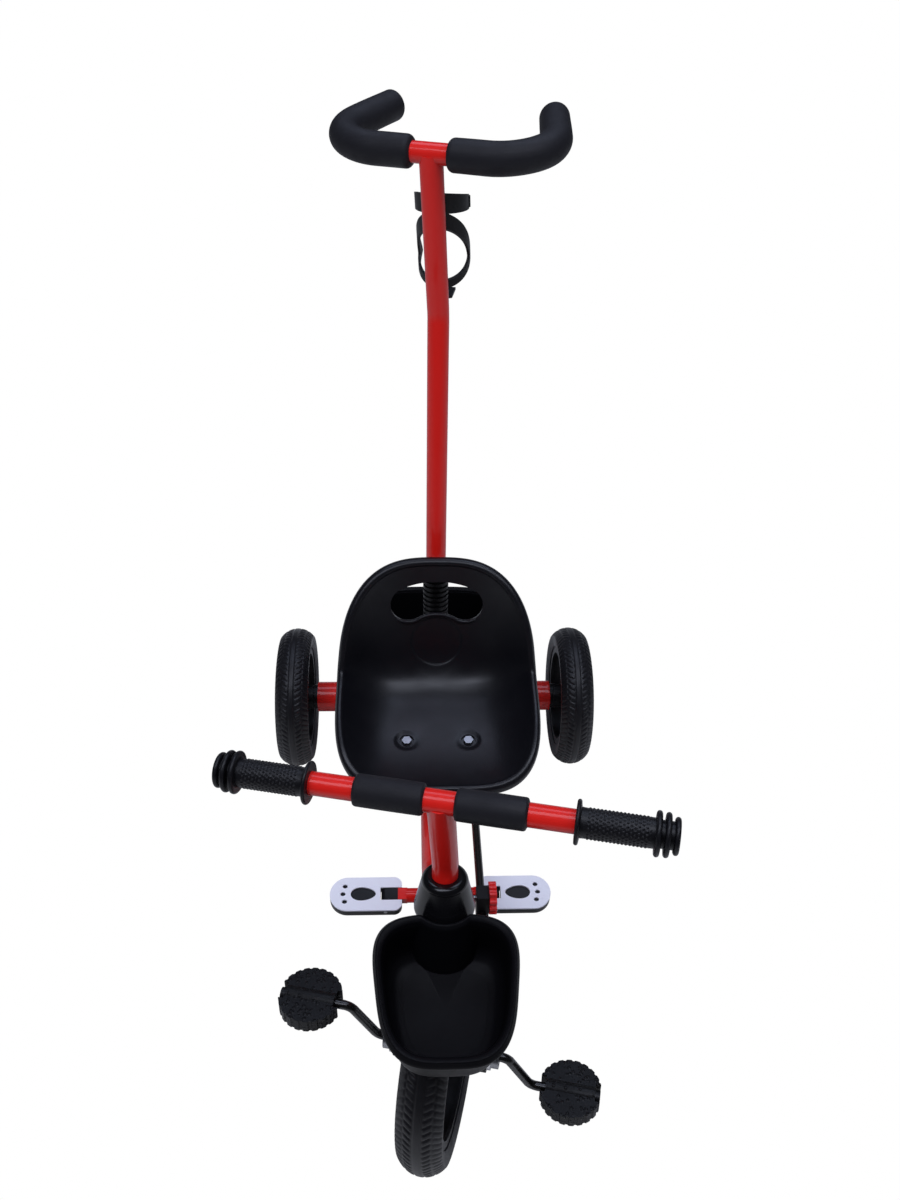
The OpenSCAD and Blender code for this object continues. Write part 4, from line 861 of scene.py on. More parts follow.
@dataclass
class BucketSeat(Piece):
    """Moulded bucket seat: a dished sheet over a bent middle line, with a rolled lip and an arched hand slot.

    It is drawn from the ground under the rear axle. The middle line runs back along the pan, curves up and
    leans back.

    Attributes:
        half_w: Half width in mm.
        pan_h: Height of the pan in mm.
        fore: Front edge ahead of the rear axle in mm.
        pan_len: Length of the pan in mm.
        back_len: Straight length of the back in mm.
        side_h: Rise of the sides in mm.
        top_h: Rise of the back's top edge in mm.
        front_h: Rise of the front edge in mm.
        thick: Thickness of the sheet in mm.
        bend_r: Radius of the curve between pan and back in mm.
        ease: Length over which that curve starts and ends, in mm.
        lean: Lean of the back in degrees.
        egg_share: Share by which the back is narrower and the front wider.
        back_round: Superellipse exponent of the back half.
        front_round: Superellipse exponent of the front half.
        dish: Power by which the sides rise out of the pan, and out of the back.
        dish_span: Sine of the angle round the seat, either way, over which one power turns into the other.
        lip: Size of the rolled lip in mm.
        lip_shares: Points of the lip, out and up from the rim, over its size.
        slot_w: Height of the hand slot in its middle, in mm.
        slot_top_r: Radius of the slot's top edge in mm.
        lobe_r: Radius of the slot's two lobes in mm.
        lobe_x: How far aside the lobes' middles are, in mm.
        slot_down: Middle of the slot below the top, along the middle line, in mm.
        slot_reach: How far the slot's cutter reaches to each side of the back, in mm.
        bead_r: Radius of the bead under the slot in mm.
        bead_out_share: How far outside the slot's edge the bead's middle lies, over its radius.
        bead_turn: How far before each lobe's lowest point the bead starts, in radians.
        bead_tip: Angle in radians left off each end of the half sine wave by which the bead swells and fades.
        bead_swell: Height of that wave, cut off at 1, where the bead is full.
        bolt_gap: Distance between the two bolts in mm.
        bolt_y: Place of the bolts behind the rear axle in mm.
        boss_r: Radius of the boss under each bolt in mm.
        boss_h: Height of the boss in mm.
        boss_sink: Top of the boss below the pan in mm.
        bore_r: Radius of the counterbore at each bolt in mm.
        bore_deep: Depth of the counterbore in mm.
        bore_up: How far its cutter reaches above the pan, in mm.
        dimple: Radii of the flat and of the whole dimple at each bolt, in mm.
        round_s: Middle of the shallow round recess in the back, along the middle line, in mm.
        round_r: Radius of that recess in mm.
        round_deep: Its depth in mm.
        round_edge: Width of its soft edge in mm.
        overrun: How far past its ends the middle line is worked out, in mm.
        line_steps: Points of the middle line.
        sides: Points round each ring.
        ring_counts: Rings of the inside, of the lip and of the underside.
        pole_shares: Size of the ring at the middle of the inside and of the underside, over the whole.
        slot_steps: Points of the slot's top edge, of each lobe and of its low edge.
        bead_steps: Points of the bead round each lobe and along the low edge.
        bead_sides: Points round the bead.
        bolt_steps: Points round a bolt's boss and counterbore.
        sharp: Angle in degrees above which an edge stays crisp.
    """

    half_w: float = 115.0
    pan_h: float = 222.7
    fore: float = 246.0
    pan_len: float = 142.0
    back_len: float = 122.0
    side_h: float = 44.0
    top_h: float = 8.0
    front_h: float = 16.0
    thick: float = 3.5
    bend_r: float = 52.0
    ease: float = 20.0
    lean: float = 26.0
    egg_share: float = 0.012
    back_round: float = 2.9
    front_round: float = 4.6
    dish: tuple[float, float] = (4.0, 2.6)
    dish_span: float = 0.5
    lip: float = 9.0
    lip_shares: tuple = (
        (0, 0), (0.3, 0.22), (0.7, 0.16), (1, -0.25), (1.05, -0.85), (0.9, -1.1), (0.62, -0.75)
    )
    slot_w: float = 43.0
    slot_top_r: float = 118.0
    lobe_r: float = 23.0
    lobe_x: float = 35.0
    slot_down: float = 43.0
    slot_reach: float = 26.0
    bead_r: float = 2.6
    bead_out_share: float = 0.7
    bead_turn: float = 0.7
    bead_tip: float = 0.02
    bead_swell: float = 3.0
    bolt_gap: float = 76.0
    bolt_y: float = -170.0
    boss_r: float = 14.0
    boss_h: float = 8.0
    boss_sink: float = 0.4
    bore_r: float = 9.0
    bore_deep: float = 2.0
    bore_up: float = 20.0
    dimple: tuple[float, float] = (9.0, 17.0)
    round_s: float = 219.0
    round_r: float = 31.0
    round_deep: float = 0.9
    round_edge: float = 2.5
    overrun: float = 20.0
    line_steps: int = 4001
    sides: int = 240
    ring_counts: tuple[int, int, int] = (96, 28, 40)
    pole_shares: tuple[float, float] = (0.01, 0.03)
    slot_steps: tuple[int, int, int] = (42, 40, 32)
    bead_steps: tuple[int, int] = (40, 50)
    bead_sides: int = 20
    bolt_steps: int = 40
    sharp: float = 45.0

    @property
    def bow(self) -> float:
        """Length of the curve between pan and back."""
        return self.bend_r * math.radians(90 - self.lean)

    @property
    def length(self) -> float:
        """Length of the middle line."""
        return self.pan_len + self.bow + self.back_len

    def middle(self, s: np.ndarray) -> tuple[np.ndarray, np.ndarray, np.ndarray]:
        """Middle line: its angle eases from level to the back's, and its place is the sum of small steps.

        Args:
            s: Lengths along the line in mm.

        Returns:
            Angle in radians, place along Y and height in mm.
        """
        line = np.linspace(-self.overrun, self.length + self.overrun, self.line_steps)
        low, high = self.pan_len - self.ease, self.pan_len + self.bow + self.ease
        angle = math.radians(90 - self.lean) * smooth(low, high, line)
        step = line[1] - line[0]
        y = np.cumsum(np.cos(angle)) * step + line[0] - step - self.fore
        z = np.cumsum(np.sin(angle)) * step + self.pan_h
        return np.interp(s, line, angle), np.interp(s, line, y), np.interp(s, line, z)

    def lifted(self, x: np.ndarray, s: np.ndarray, h: np.ndarray) -> np.ndarray:
        """Points at distances aside, lengths along the middle line and heights square to it, in mm."""
        t, y, z = self.middle(s)
        return np.stack([x + 0 * s, y - h * np.sin(t), z + h * np.cos(t)], -1)

    def points(self, share: np.ndarray, out: np.ndarray, up: np.ndarray) -> np.ndarray:
        """Rings of the sheet, each a superellipse about the seat's middle.

        The rim's height goes from the sides' to the ends' with the squares of cosine and sine. Inwards it
        falls off with a power of the way out, to flat dimples at the bolts and a shallow round recess in the
        back.

        Args:
            share: Size of each ring over the whole.
            out: Length in mm by which each ring is larger than that.
            up: Height in mm by which each ring lies above the sheet's inside.

        Returns:
            Rings as an array of rings, points and coordinates, in mm.
        """
        a = around(self.sides)
        n = np.where(np.sin(a) > 0, self.back_round, self.front_round)
        c, d = round_cos(a, n)[None, :], round_sin(a, n)[None, :]
        share, out, up = (v[:, None] for v in (share, out, up))
        x = (self.half_w * (1 - self.egg_share * d) * share + out) * c
        s = self.length / 2 + (self.length / 2 * share + out) * d
        end_h = np.where(np.sin(a) > 0, self.top_h, self.front_h)
        rim = self.side_h * np.cos(a) ** 2 + end_h * np.sin(a) ** 2
        recess = 1 - smooth(self.round_r, self.round_r + self.round_edge, np.hypot(x, s - self.round_s))
        bolt = np.hypot(np.abs(x) - self.bolt_gap / 2, s - self.fore - self.bolt_y)
        pan, back = self.dish
        dish = pan + (back - pan) * smooth(-self.dish_span, self.dish_span, np.sin(a))[None, :]
        h = rim[None, :] * share**dish * smooth(*self.dimple, bolt) + up - self.round_deep * recess
        return self.lifted(x, s, h)

    def shell(self) -> bpy.types.Object:
        """Closed sheet: inside from the middle to the rim, the rolled lip, and back under to the middle.

        Returns:
            The seat without its slot, bead and bosses.
        """
        inside, rolled, under = self.ring_counts
        ins = np.linspace(self.pole_shares[0], 1, inside)
        lip = self.lip * through(np.array(self.lip_shares), rolled)[1:]
        outs = np.linspace(1, self.pole_shares[1], under)
        share = np.concatenate([ins, np.ones(len(lip)), outs])
        out = np.concatenate([0 * ins, lip[:, 0], self.thick * outs])
        up = np.concatenate([0 * ins, lip[:, 1], np.full(under, -self.thick)])
        rings = self.points(share, out, up)
        poles = self.lifted(np.zeros(2), np.full(2, self.length / 2), np.array([0, -self.thick]))
        return skin(self.name, self.place.put(rings), tuple(self.place.put(poles)), self.sharp)

    @property
    def slot_arcs(self) -> SlotArcs:
        """Arcs of the slot: the lobes touch the top edge from inside and the low edge's arc from outside.

        Returns:
            The arcs, counted from the slot's middle.
        """
        half, top, r, out = self.slot_w / 2, self.slot_top_r, self.lobe_r, self.lobe_x
        lobe_y = half - top + math.sqrt((top - r) ** 2 - out**2)
        gap = lobe_y + half
        low_r = (out**2 + gap**2 - r**2) / (2 * (r - gap))
        top_turn, low_turn = math.asin(out / (top - r)), math.asin(out / (low_r + r))
        return SlotArcs(half - top, top_turn, lobe_y, low_r, -half - low_r, low_turn)

    def slot_cutter(self) -> bpy.types.Object:
        """Kidney-shaped bar, set square to the back: a flat arch on top, two lobes and an arch underneath.

        Returns:
            The cutter.
        """
        arcs = self.slot_arcs
        tops, lobes, lows = self.slot_steps
        lobe = arc(self.lobe_x, arcs.lobe_y, self.lobe_r, arcs.top_turn, np.pi + arcs.low_turn, lobes)[1:-1]
        top = arc(0, arcs.top_y, self.slot_top_r, -arcs.top_turn, arcs.top_turn, tops)
        low = arc(0, arcs.low_y, arcs.low_r, arcs.low_turn, -arcs.low_turn, lows)
        outline = np.vstack([top, lobe, low, (lobe * [-1, 1])[::-1]])
        _, y, z = (v[0] for v in self.middle(np.array([self.length - self.slot_down])))
        back = self.place.at(0, y, z).turned(about_x(90 - self.lean))
        return prism("slot_cutter", back, outline, -self.slot_reach, self.slot_reach)

    def inside(self, x: np.ndarray, s: np.ndarray) -> np.ndarray:
        """Points on the inside of the back.

        The superellipse through each point gives its share of the way out, and so the height of the dish.

        Args:
            x: Distances aside in mm.
            s: Lengths along the middle line in mm.

        Returns:
            Points in mm.
        """
        n = self.back_round
        across, along = np.abs(x) / self.half_w, np.abs(s * 2 / self.length - 1)
        share = (across**n + along**n) ** (1 / n)
        to_side = (across / share) ** n
        h = (self.side_h * to_side + self.top_h * (1 - to_side)) * share ** self.dish[1]
        return self.lifted(x, s, h)

    def bead(self) -> bpy.types.Object:
        """Round bead under the slot's low edge: a circle carried along it, fading out round the lobes.

        Returns:
            The bead.
        """
        arcs = self.slot_arcs
        past = self.bead_r * self.bead_out_share
        lobes, lows = self.bead_steps
        first, last = np.pi - self.bead_turn, np.pi + arcs.low_turn
        lobe = arc(self.lobe_x, arcs.lobe_y, self.lobe_r + past, first, last, lobes)[:-1]
        low = arc(0, arcs.low_y, arcs.low_r - past, arcs.low_turn, -arcs.low_turn, lows)
        line = np.vstack([lobe, low, (lobe * [-1, 1])[::-1]])
        s = self.length - self.slot_down + line[:, 1]
        path = self.inside(line[:, 0], s)
        t = self.middle(s)[0]
        up = np.stack([0 * t, -np.sin(t), np.cos(t)], -1)
        swell = np.sin(np.linspace(self.bead_tip, np.pi - self.bead_tip, len(path))) * self.bead_swell
        radii = self.bead_r * np.sqrt(np.clip(swell, 0, 1))
        rings = tube(path, aside(path, up), up, radii, self.bead_sides)
        return skin("slot_bead", self.place.put(rings), tuple(self.place.put(path[[0, -1]])))

    def plug(self, x: float, r: float, low: float, high: float) -> bpy.types.Object:
        """Upright round plug on a bolt, between two heights from the pan in mm."""
        ring = arc(0, 0, r, 0, 2 * np.pi, self.bolt_steps + 1)[:-1]
        return prism("plug", self.place.at(x, self.bolt_y, 0), ring, self.pan_h + low, self.pan_h + high)

    def build(self, looks: Looks) -> None:
        """Build the seat, add its bead and bosses, cut its slot and counterbores and fix it to the frame.

        Args:
            looks: Materials by slot.
        """
        made = self.shell()
        tools = [("UNION", self.bead()), ("DIFFERENCE", self.slot_cutter())]
        for side, _ in SIDES:
            x = side * self.bolt_gap / 2
            tools.append(("UNION", self.plug(x, self.boss_r, -self.boss_h, -self.boss_sink)))
            tools.append(("DIFFERENCE", self.plug(x, self.bore_r, -self.bore_deep, self.bore_up)))
        carve(made, tools, self.sharp)
        dress(made, self.body, "seat_plastic", self.node, looks)


@dataclass
class FootPlate(Piece):
    """Silver face of a footrest: round at its outer end, notched for the hinge, with a footprint cut out.

    It is drawn from the hinge's middle. Lengths count outwards.

    Attributes:
        side: 1 for the right, -1 for the left.
        outer: Length outside the hinge in mm.
        inner: Length inside the hinge in mm.
        w: Width in mm.
        corner: Radius of the inner corners in mm.
        low: Underside above the hinge's axis in mm.
        thick: Thickness in mm.
        notch: Length past the hinge and width of the notch in mm.
        sole: Middle, half length, half width and its growth towards the toes, in mm.
        toe: Half length and half width of a toe in mm.
        toes: Middle of each toe in mm.
        cut: Heights between which the holes are cut, in mm.
        overrun: How far the notch's cutter reaches past the plate, in mm.
        end_steps: Points round the outer end.
        corner_steps: Points round each inner corner.
        hole_steps: Points round the sole and each toe.
        sharp: Angle in degrees above which an edge stays crisp.
    """

    side: int
    outer: float = 62.0
    inner: float = 18.0
    w: float = 40.0
    corner: float = 9.0
    low: float = 3.0
    thick: float = 2.0
    notch: tuple[float, float] = (6.0, 15.0)
    sole: tuple[float, float, float, float] = (25.0, 14.0, 8.0, 1.3)
    toe: tuple[float, float] = (2.9, 2.4)
    toes: tuple = ((45.4, 9.2), (47.5, 0.0), (45.4, -9.2))
    cut: tuple[float, float] = (0.0, 10.0)
    overrun: float = 5.0
    end_steps: int = 49
    corner_steps: int = 13
    hole_steps: int = 48
    sharp: float = 30.0

    def outline(self) -> np.ndarray:
        """Half round outside and two small corners inside.

        Returns:
            Points as [x, y] in mm.
        """
        half, r, inside = self.w / 2, self.corner, self.corner - self.inner
        low, level, high = np.pi, 1.5 * np.pi, 2 * np.pi
        end = arc(self.outer - half, 0, half, 0, np.pi, self.end_steps)
        front = arc(inside, r - half, r, low, level, self.corner_steps)
        back = arc(inside, half - r, r, level, high, self.corner_steps)
        return np.vstack([end, front, back])

    def holes(self) -> list[np.ndarray]:
        """Outlines of the notch, the egg-shaped sole and the oval toes.

        Returns:
            Points of each as [x, y] in mm.
        """
        end, half = self.notch[0], self.notch[1] / 2
        start = -self.inner - self.overrun
        notch = np.array([[start, -half], [end, -half], [end, half], [start, half]])
        t = around(self.hole_steps)
        middle, reach, broad, more = self.sole
        sole = np.column_stack([middle + reach * np.cos(t), (broad + more * np.cos(t)) * np.sin(t)])
        toe = np.column_stack([np.cos(t), np.sin(t)]) * self.toe
        return [notch, sole] + [toe + at for at in self.toes]

    def build(self, looks: Looks) -> None:
        """Build the plate, cut its holes and fix it to the footrest.

        Args:
            looks: Materials by slot.
        """
        flip = np.array([self.side, 1])
        made = prism(self.name, self.place, self.outline() * flip, self.low, self.low + self.thick)
        tools = [("DIFFERENCE", prism("hole", self.place, hole * flip, *self.cut)) for hole in self.holes()]
        carve(made, tools, self.sharp)
        dress(made, self.body, "silver_plate", self.node, looks)


@dataclass
class MouldedTub(Piece):
    """Moulded basket: drafted walls, a round floor corner and a rolled rim that can wrap the head.

    It is drawn from the middle of its underside.

    Attributes:
        w: Width of the rim in mm.
        length: Length of the rim in mm.
        h: Depth in mm.
        taper: Share by which the front is narrower.
        recess: Radius of the recess round the head, or 0.
        head: How far behind the basket's middle the head is at the underside, and how that grows with height.
        slant: Length of a level cut across the leaning head, over its width.
        squareness: Superellipse exponent of the outline.
        draft: How far each wall leans in, in mm.
        lip: Width of the rim in mm.
        lip_h: Height of the rim in mm.
        hem: How far the rim's edges stand off the walls, in mm.
        corner: Radius of the floor's outer corner in mm.
        fillet: Radius of the floor's inner corner in mm.
        wall: Thickness of the walls in mm.
        ring_counts: Rings up the outer wall, and from the rim down the inside.
        sides: Points round each ring.
        sharp: Angle in degrees above which an edge stays crisp.
    """

    w: float
    length: float
    h: float
    taper: float = 0.0
    recess: float = 0.0
    head: tuple[float, float] = (0.0, 0.0)
    slant: float = 1.0485
    squareness: float = 3.4
    draft: float = 13.0
    lip: float = 8.0
    lip_h: float = 12.0
    hem: float = 1.0
    corner: float = 9.0
    fillet: float = 15.0
    wall: float = 3.0
    ring_counts: tuple[int, int] = (24, 70)
    sides: int = 320
    sharp: float = 50.0

    def ring(self, less: np.ndarray, recess: np.ndarray, z: np.ndarray) -> np.ndarray:
        """Superellipses that narrow to the front, drawn forward where they would cross the head's ellipse.

        Args:
            less: Width in mm by which each ring is smaller than the rim.
            recess: Radius of the recess at each ring in mm.
            z: Height of each ring in mm.

        Returns:
            Rings as an array of rings, points and coordinates, in mm.
        """
        a = around(self.sides)
        less, recess, z = (v[:, None] for v in (less, recess, z))
        d = round_sin(a, self.squareness)[None, :]
        x = (self.w - less) / 2 * round_cos(a, self.squareness)[None, :] * (1 - self.taper * (1 - d) / 2)
        y = (self.length - less) / 2 * d + 0 * x
        if self.recess > 0:
            near = self.head[0] + self.head[1] * z - np.sqrt(np.clip(recess**2 - x**2, 0, None)) * self.slant
            pull = np.where(np.abs(x) < recess, y - near, 0)
            y = y - np.clip(pull, 0, None)
        return np.stack([x, y, z + 0 * x], -1)

    def rows(self) -> np.ndarray:
        """Section of the tub: curves up the outer wall, then round the rim and down the inside.

        Returns:
            How much smaller than the rim each ring is, its recess and its height, in mm.
        """
        floor, lip, c, f, t = 2 * self.draft, self.lip, self.corner, self.fillet, self.wall
        top, rim_h = self.h, self.lip_h
        low = top - rim_h
        edge, outer = self.recess, self.recess + lip / 3
        inner = outer + t
        up = [[floor + 2 * c, outer, 0], [floor + c / 2, outer, c / 4]]
        up += [[floor - c / 2, outer, c], [2 * lip, outer, low]]
        rim = [[lip / 2 + self.hem, edge, low], [lip / 4, edge, top - rim_h * 0.85]]
        rim += [[0, edge, top - rim_h / 2], [lip / 2, edge, top - rim_h / 6]]
        rim += [[lip, outer, top], [2 * lip, inner - self.hem, top - rim_h / 8]]
        down = [[2 * lip + t, inner, top - rim_h / 3], [2 * lip + 2 * t, inner, low]]
        down += [[floor - f / 2 + 2 * t, inner, f + t], [floor + f / 2 + 2 * t, inner, f / 4 + t]]
        down += [[floor + 2 * f + 2 * t, inner, t]]
        outside, inside = self.ring_counts
        return np.vstack([through(np.array(up), outside), through(np.array(rim + down), inside)])

    def build(self, looks: Looks) -> None:
        """Build the basket and fix it to the frame.

        Args:
            looks: Materials by slot.
        """
        rings = self.ring(*self.rows().T)
        poles = tuple(self.place.put(np.array([0, 0, z])) for z in (0.0, self.wall))
        made = skin(self.name, self.place.put(rings), poles, self.sharp)
        dress(made, self.body, "black_plastic", self.node, looks)
        # Painted shade: the basket takes a darker, less shiny copy of the black plastic, so that its floor reads
        # as shadowed.
        made.data.materials[0] = looks["basket_plastic_painted_shade"]


# Scene

# Foam on the handlebar and on the push handle, and the two baskets: sizes in mm and degrees, and a taper.
PAD = {"start": 14.0, "run": 65.0, "d": 30.0}
PUSH_FOAM = {"start": 20.0, "run": 40.0, "d": 34.0, "turn": 107.0, "corner": 56.0, "end": 68.0, "edge": 6.5}
FRONT_TUB = {"w": 150.0, "length": 144.0, "h": 62.0, "taper": 0.24, "recess": 32.5}
REAR_TUB = {"w": 190.0, "length": 88.0, "h": 82.0}


def packed(rows: list[dict], name: str) -> np.ndarray:
    """Place in metres of the joint or mount of this name."""
    return np.array(next(row for row in rows if row["name"] == name)["pos_m"])


@dataclass
class Trike:
    """The whole trike: where its parts stand, and what dresses them.

    Attributes:
        axle_y: Rear axle behind the row's origin, in mm.
        wheelbase: Front hub ahead of the rear axle, in mm.
        rake: Lean of the steering and push axes, in degrees.
        steer: Turn of the fork at rest, in degrees.
        front_d: Front tyre's diameter in mm.
        front_w: Front tyre's width in mm.
        rear_d: Rear tyres' diameter in mm.
        rear_w: Rear tyres' width in mm.
        track: Distance between the rear tyres' middles in mm.
        bar_y: Handlebar behind the steering axis, in mm.
        bar_z: Handlebar above the front hub, along the steering axis, in mm.
        bend_z: Push bar's bend above the foot of its axis, in mm.
        bend: Turn of the push bar at its bend, in degrees.
        handle_z: Push handle above the bend, along the upper tube, in mm.
        handle_turn: Turn of the handle on its tube, in degrees.
    """

    axle_y: float
    wheelbase: float = 502.0
    rake: float = 17.5
    steer: float = -13.5
    front_d: float = 250.0
    front_w: float = 48.0
    rear_d: float = 195.0
    rear_w: float = 44.0
    track: float = 387.0
    bar_y: float = -28.0
    bar_z: float = 358.0
    bend_z: float = 663.947
    bend: float = 14.5
    handle_z: float = 180.0
    handle_turn: float = -8.0

    def place(self, y: float, z: float) -> Place:
        """Place in the middle plane, counted from under the rear axle in mm."""
        return Place(np.array([0.0, (self.axle_y + y) * MM, z * MM]), np.eye(3))

    @property
    def steered(self) -> np.ndarray:
        """Turn of what steers: Z along the leaning axis, and turned about it."""
        return about_x(-self.rake) @ about_z(self.steer)

    @property
    def fork(self) -> Place:
        """Front hub, with Z up the steering axis and X along the axle."""
        return self.place(-self.wheelbase, self.front_d / 2).turned(self.steered)

    @property
    def bar(self) -> Place:
        """Middle of the handlebar, with X along it."""
        return self.fork.at(0, self.bar_y, self.bar_z)

    @property
    def handle(self) -> Place:
        """Middle of the push handle, with X along it and Z up the upper tube."""
        bend = Place(packed(frame["joints"], "push_steer"), self.steered).at(0, 0, self.bend_z)
        return bend.turned(about_x(self.bend)).at(0, 0, self.handle_z).turned(about_z(self.handle_turn))

    def tyres(self) -> list[Piece]:
        """One tyre in the fork and one at each end of the rear axle.

        Returns:
            The tyres, still to be built.
        """
        names = ("tyre_front", "front_tyre", "front_wheel_body")
        made = [TreadTyre(*names, self.fork, self.front_d, self.front_w)]
        for side, word in SIDES:
            hub = self.place(0, self.rear_d / 2).at(side * self.track / 2, 0, 0)
            names = (f"tyre_{word}", f"rear_tyre_{word}", f"rear_wheel_{word}_body")
            made.append(TreadTyre(*names, hub, self.rear_d, self.rear_w))
        return made

    def pairs(self) -> list[Piece]:
        """What is held or trodden on, left and right: foam pads, hand grips, push foams and footrest plates.

        Returns:
            The pieces, still to be built.
        """
        made = []
        for side, word in SIDES:
            foot = f"footrest_{word}"
            hinge = Place(packed(frame["joints"], f"{foot}_fold"), np.eye(3))
            plate = (f"foot_plate_{word}", f"footrest_plate_{word}", f"{foot}_body", hinge)
            pad = (f"pad_{word}", f"handlebar_pad_{word}", "steering", self.bar)
            push = (f"push_foam_{word}", f"push_grip_{word}", "push_bar_body", self.handle)
            made.append(FoamSleeve(*pad, side=side, **PAD))
            made.append(DottedGrip(f"hand_grip_{word}", f"grip_{word}", "steering", self.bar, side))
            made.append(FoamSleeve(*push, side=side, **PUSH_FOAM))
            made.append(FootPlate(*plate, side))
        return made

    def tubs(self) -> list[Piece]:
        """Front basket, which wraps the leaning head, and rear basket, each set a wall under its floor.

        Returns:
            The baskets, still to be built.
        """
        floors = (packed(frame["record"]["mounts"], f"{end}_basket_floor") for end in ("front", "rear"))
        front, rear = (Place(floor, np.eye(3)).at(0, 0, -MouldedTub.wall) for floor in floors)
        slope = math.tan(math.radians(self.rake))
        _, y, z = front.origin / MM
        head = ((z - self.front_d / 2) * slope + self.axle_y - self.wheelbase - y, slope)
        return [
            MouldedTub("basket_front", "front_basket", "frame", front, head=head, **FRONT_TUB),
            MouldedTub("basket_rear", "rear_basket", "frame", rear, **REAR_TUB),
        ]

    def build(self, looks: Looks) -> None:
        """Build the pieces that stand for CAD nodes.

        Args:
            looks: Materials by slot.
        """
        seat = BucketSeat("seat_bucket", "seat_shell", "frame", self.place(0, 0))
        for piece in [*self.tyres(), *self.pairs(), seat, *self.tubs()]:
            piece.build(looks)


@dataclass(frozen=True)
class Lamp:
    """Soft oblong lamp.

    Attributes:
        name: Its name.
        at: Where it hangs, in metres.
        to: What it faces, in metres.
        size: Its width and height in metres.
        power: Its power in watts.
        tint: sRGB hex colour of its light.
        glint: Whether it shows in reflections.
    """

    name: str
    at: tuple[float, float, float]
    to: tuple[float, float, float]
    size: tuple[float, float]
    power: float
    tint: str = WHITE
    glint: bool = True

    def hang(self) -> None:
        """Hang the lamp: tilted from straight down by the angle to its aim, then spun towards it."""
        light = bpy.data.lights.new(self.name, "AREA")
        light.shape = "RECTANGLE"
        light.size, light.size_y = self.size
        light.energy = self.power
        light.color = linear(self.tint)[:3]
        lamp = bpy.data.objects.new(self.name, light)
        lamp.location = self.at
        lamp.visible_glossy = self.glint
        toward = np.array(self.to) - np.array(self.at)
        toward /= np.linalg.norm(toward)
        lamp.rotation_euler = (math.acos(-toward[2]), 0, math.atan2(toward[1], toward[0]) - math.pi / 2)
        bpy.context.scene.collection.objects.link(lamp)


# A wide overhead lamp gives the one highlight that shows. Key and fill only light.
LAMPS = (
    Lamp("key_left", (-1.1, -0.7, 2.3), (0.0, -0.2, 0.3), (1.5, 1.2), 22.0, glint=False),
    Lamp("fill_right", (1.5, -0.5, 2.1), (0.0, -0.2, 0.3), (1.4, 1.4), 11.0, glint=False),
    Lamp("overhead", (0.05, -0.3, 2.6), (0.0, -0.1, 0.3), (2.9, 0.8), 26.0, "e6ecff"),
    Lamp("top_back", (0.1, 1.5, 2.4), (0.0, 0.0, 0.3), (2.2, 0.9), 15.0, "d6e2ff"),
)


@dataclass(frozen=True)
class Studio:
    """White cut-out room: a pale floor, a bright surround and soft lamps.

    Attributes:
        level: Strength of the surround on matt surfaces.
        mirrored: Strength of the surround in reflections, low as in a room of dark walls.
        tint: sRGB hex colour of the surround's light.
        floor_size: Width of the floor in metres.
        floor_z: Height of the floor in metres, a hair under the tyres.
        floor_colour: sRGB hex colour that the floor throws back.
        floor_rough: Roughness of the floor.
    """

    level: float = 0.26
    mirrored: float = 0.04
    tint: str = "eef1ff"
    floor_size: float = 14.0
    floor_z: float = -0.0006
    floor_colour: str = "cbcbcb"
    floor_rough: float = 0.9

    def floor(self) -> None:
        """Lay a pale floor that the camera sees as plain white."""
        bpy.ops.mesh.primitive_plane_add(size=self.floor_size, location=(0, 0, self.floor_z))
        plane = bpy.context.object
        plane.name = "floor"
        pale = bpy.data.materials.new("paper_white_floor")
        pale.use_nodes = True
        tree = pale.node_tree
        surface = tree.nodes["Principled BSDF"]
        surface.inputs["Base Color"].default_value = linear(self.floor_colour)
        surface.inputs["Roughness"].default_value = self.floor_rough
        seen = add_node(tree, "ShaderNodeLightPath")
        plain = add_node(tree, "ShaderNodeEmission", None, {"Color": linear(WHITE), "Strength": 1.0})
        shaders = {"Fac": seen.outputs["Is Camera Ray"], 1: surface.outputs[0], 2: plain.outputs[0]}
        mix = add_node(tree, "ShaderNodeMixShader", shaders)
        tree.links.new(mix.outputs[0], tree.nodes["Material Output"].inputs["Surface"])
        plane.data.materials.append(pale)

    def surround(self) -> None:
        """Light the room evenly and show plain white to the camera."""
        world = bpy.data.worlds.new("white_room")
        bpy.context.scene.world = world
        world.use_nodes = True
        tree = world.node_tree
        glow = tree.nodes["Background"]
        seen = add_node(tree, "ShaderNodeLightPath").outputs
        colours = {"Color1": linear(self.tint), "Color2": linear(WHITE)}
        tint = add_node(tree, "ShaderNodeMixRGB", {"Fac": seen["Is Camera Ray"]}, colours)
        levels = {"To Min": self.level, "To Max": self.mirrored}
        shine = add_node(tree, "ShaderNodeMapRange", {"Value": seen["Is Glossy Ray"]}, levels)
        to_eye = {"Value": seen["Is Camera Ray"], "To Min": shine.outputs[0]}
        level = add_node(tree, "ShaderNodeMapRange", to_eye, {"To Max": 1.0})
        tree.links.new(tint.outputs[0], glow.inputs["Color"])
        tree.links.new(level.outputs[0], glow.inputs["Strength"])

    def build(self) -> None:
        """Lay the floor, light the room and hang the lamps."""
        self.floor()
        self.surround()
        for lamp in LAMPS:
            lamp.hang()


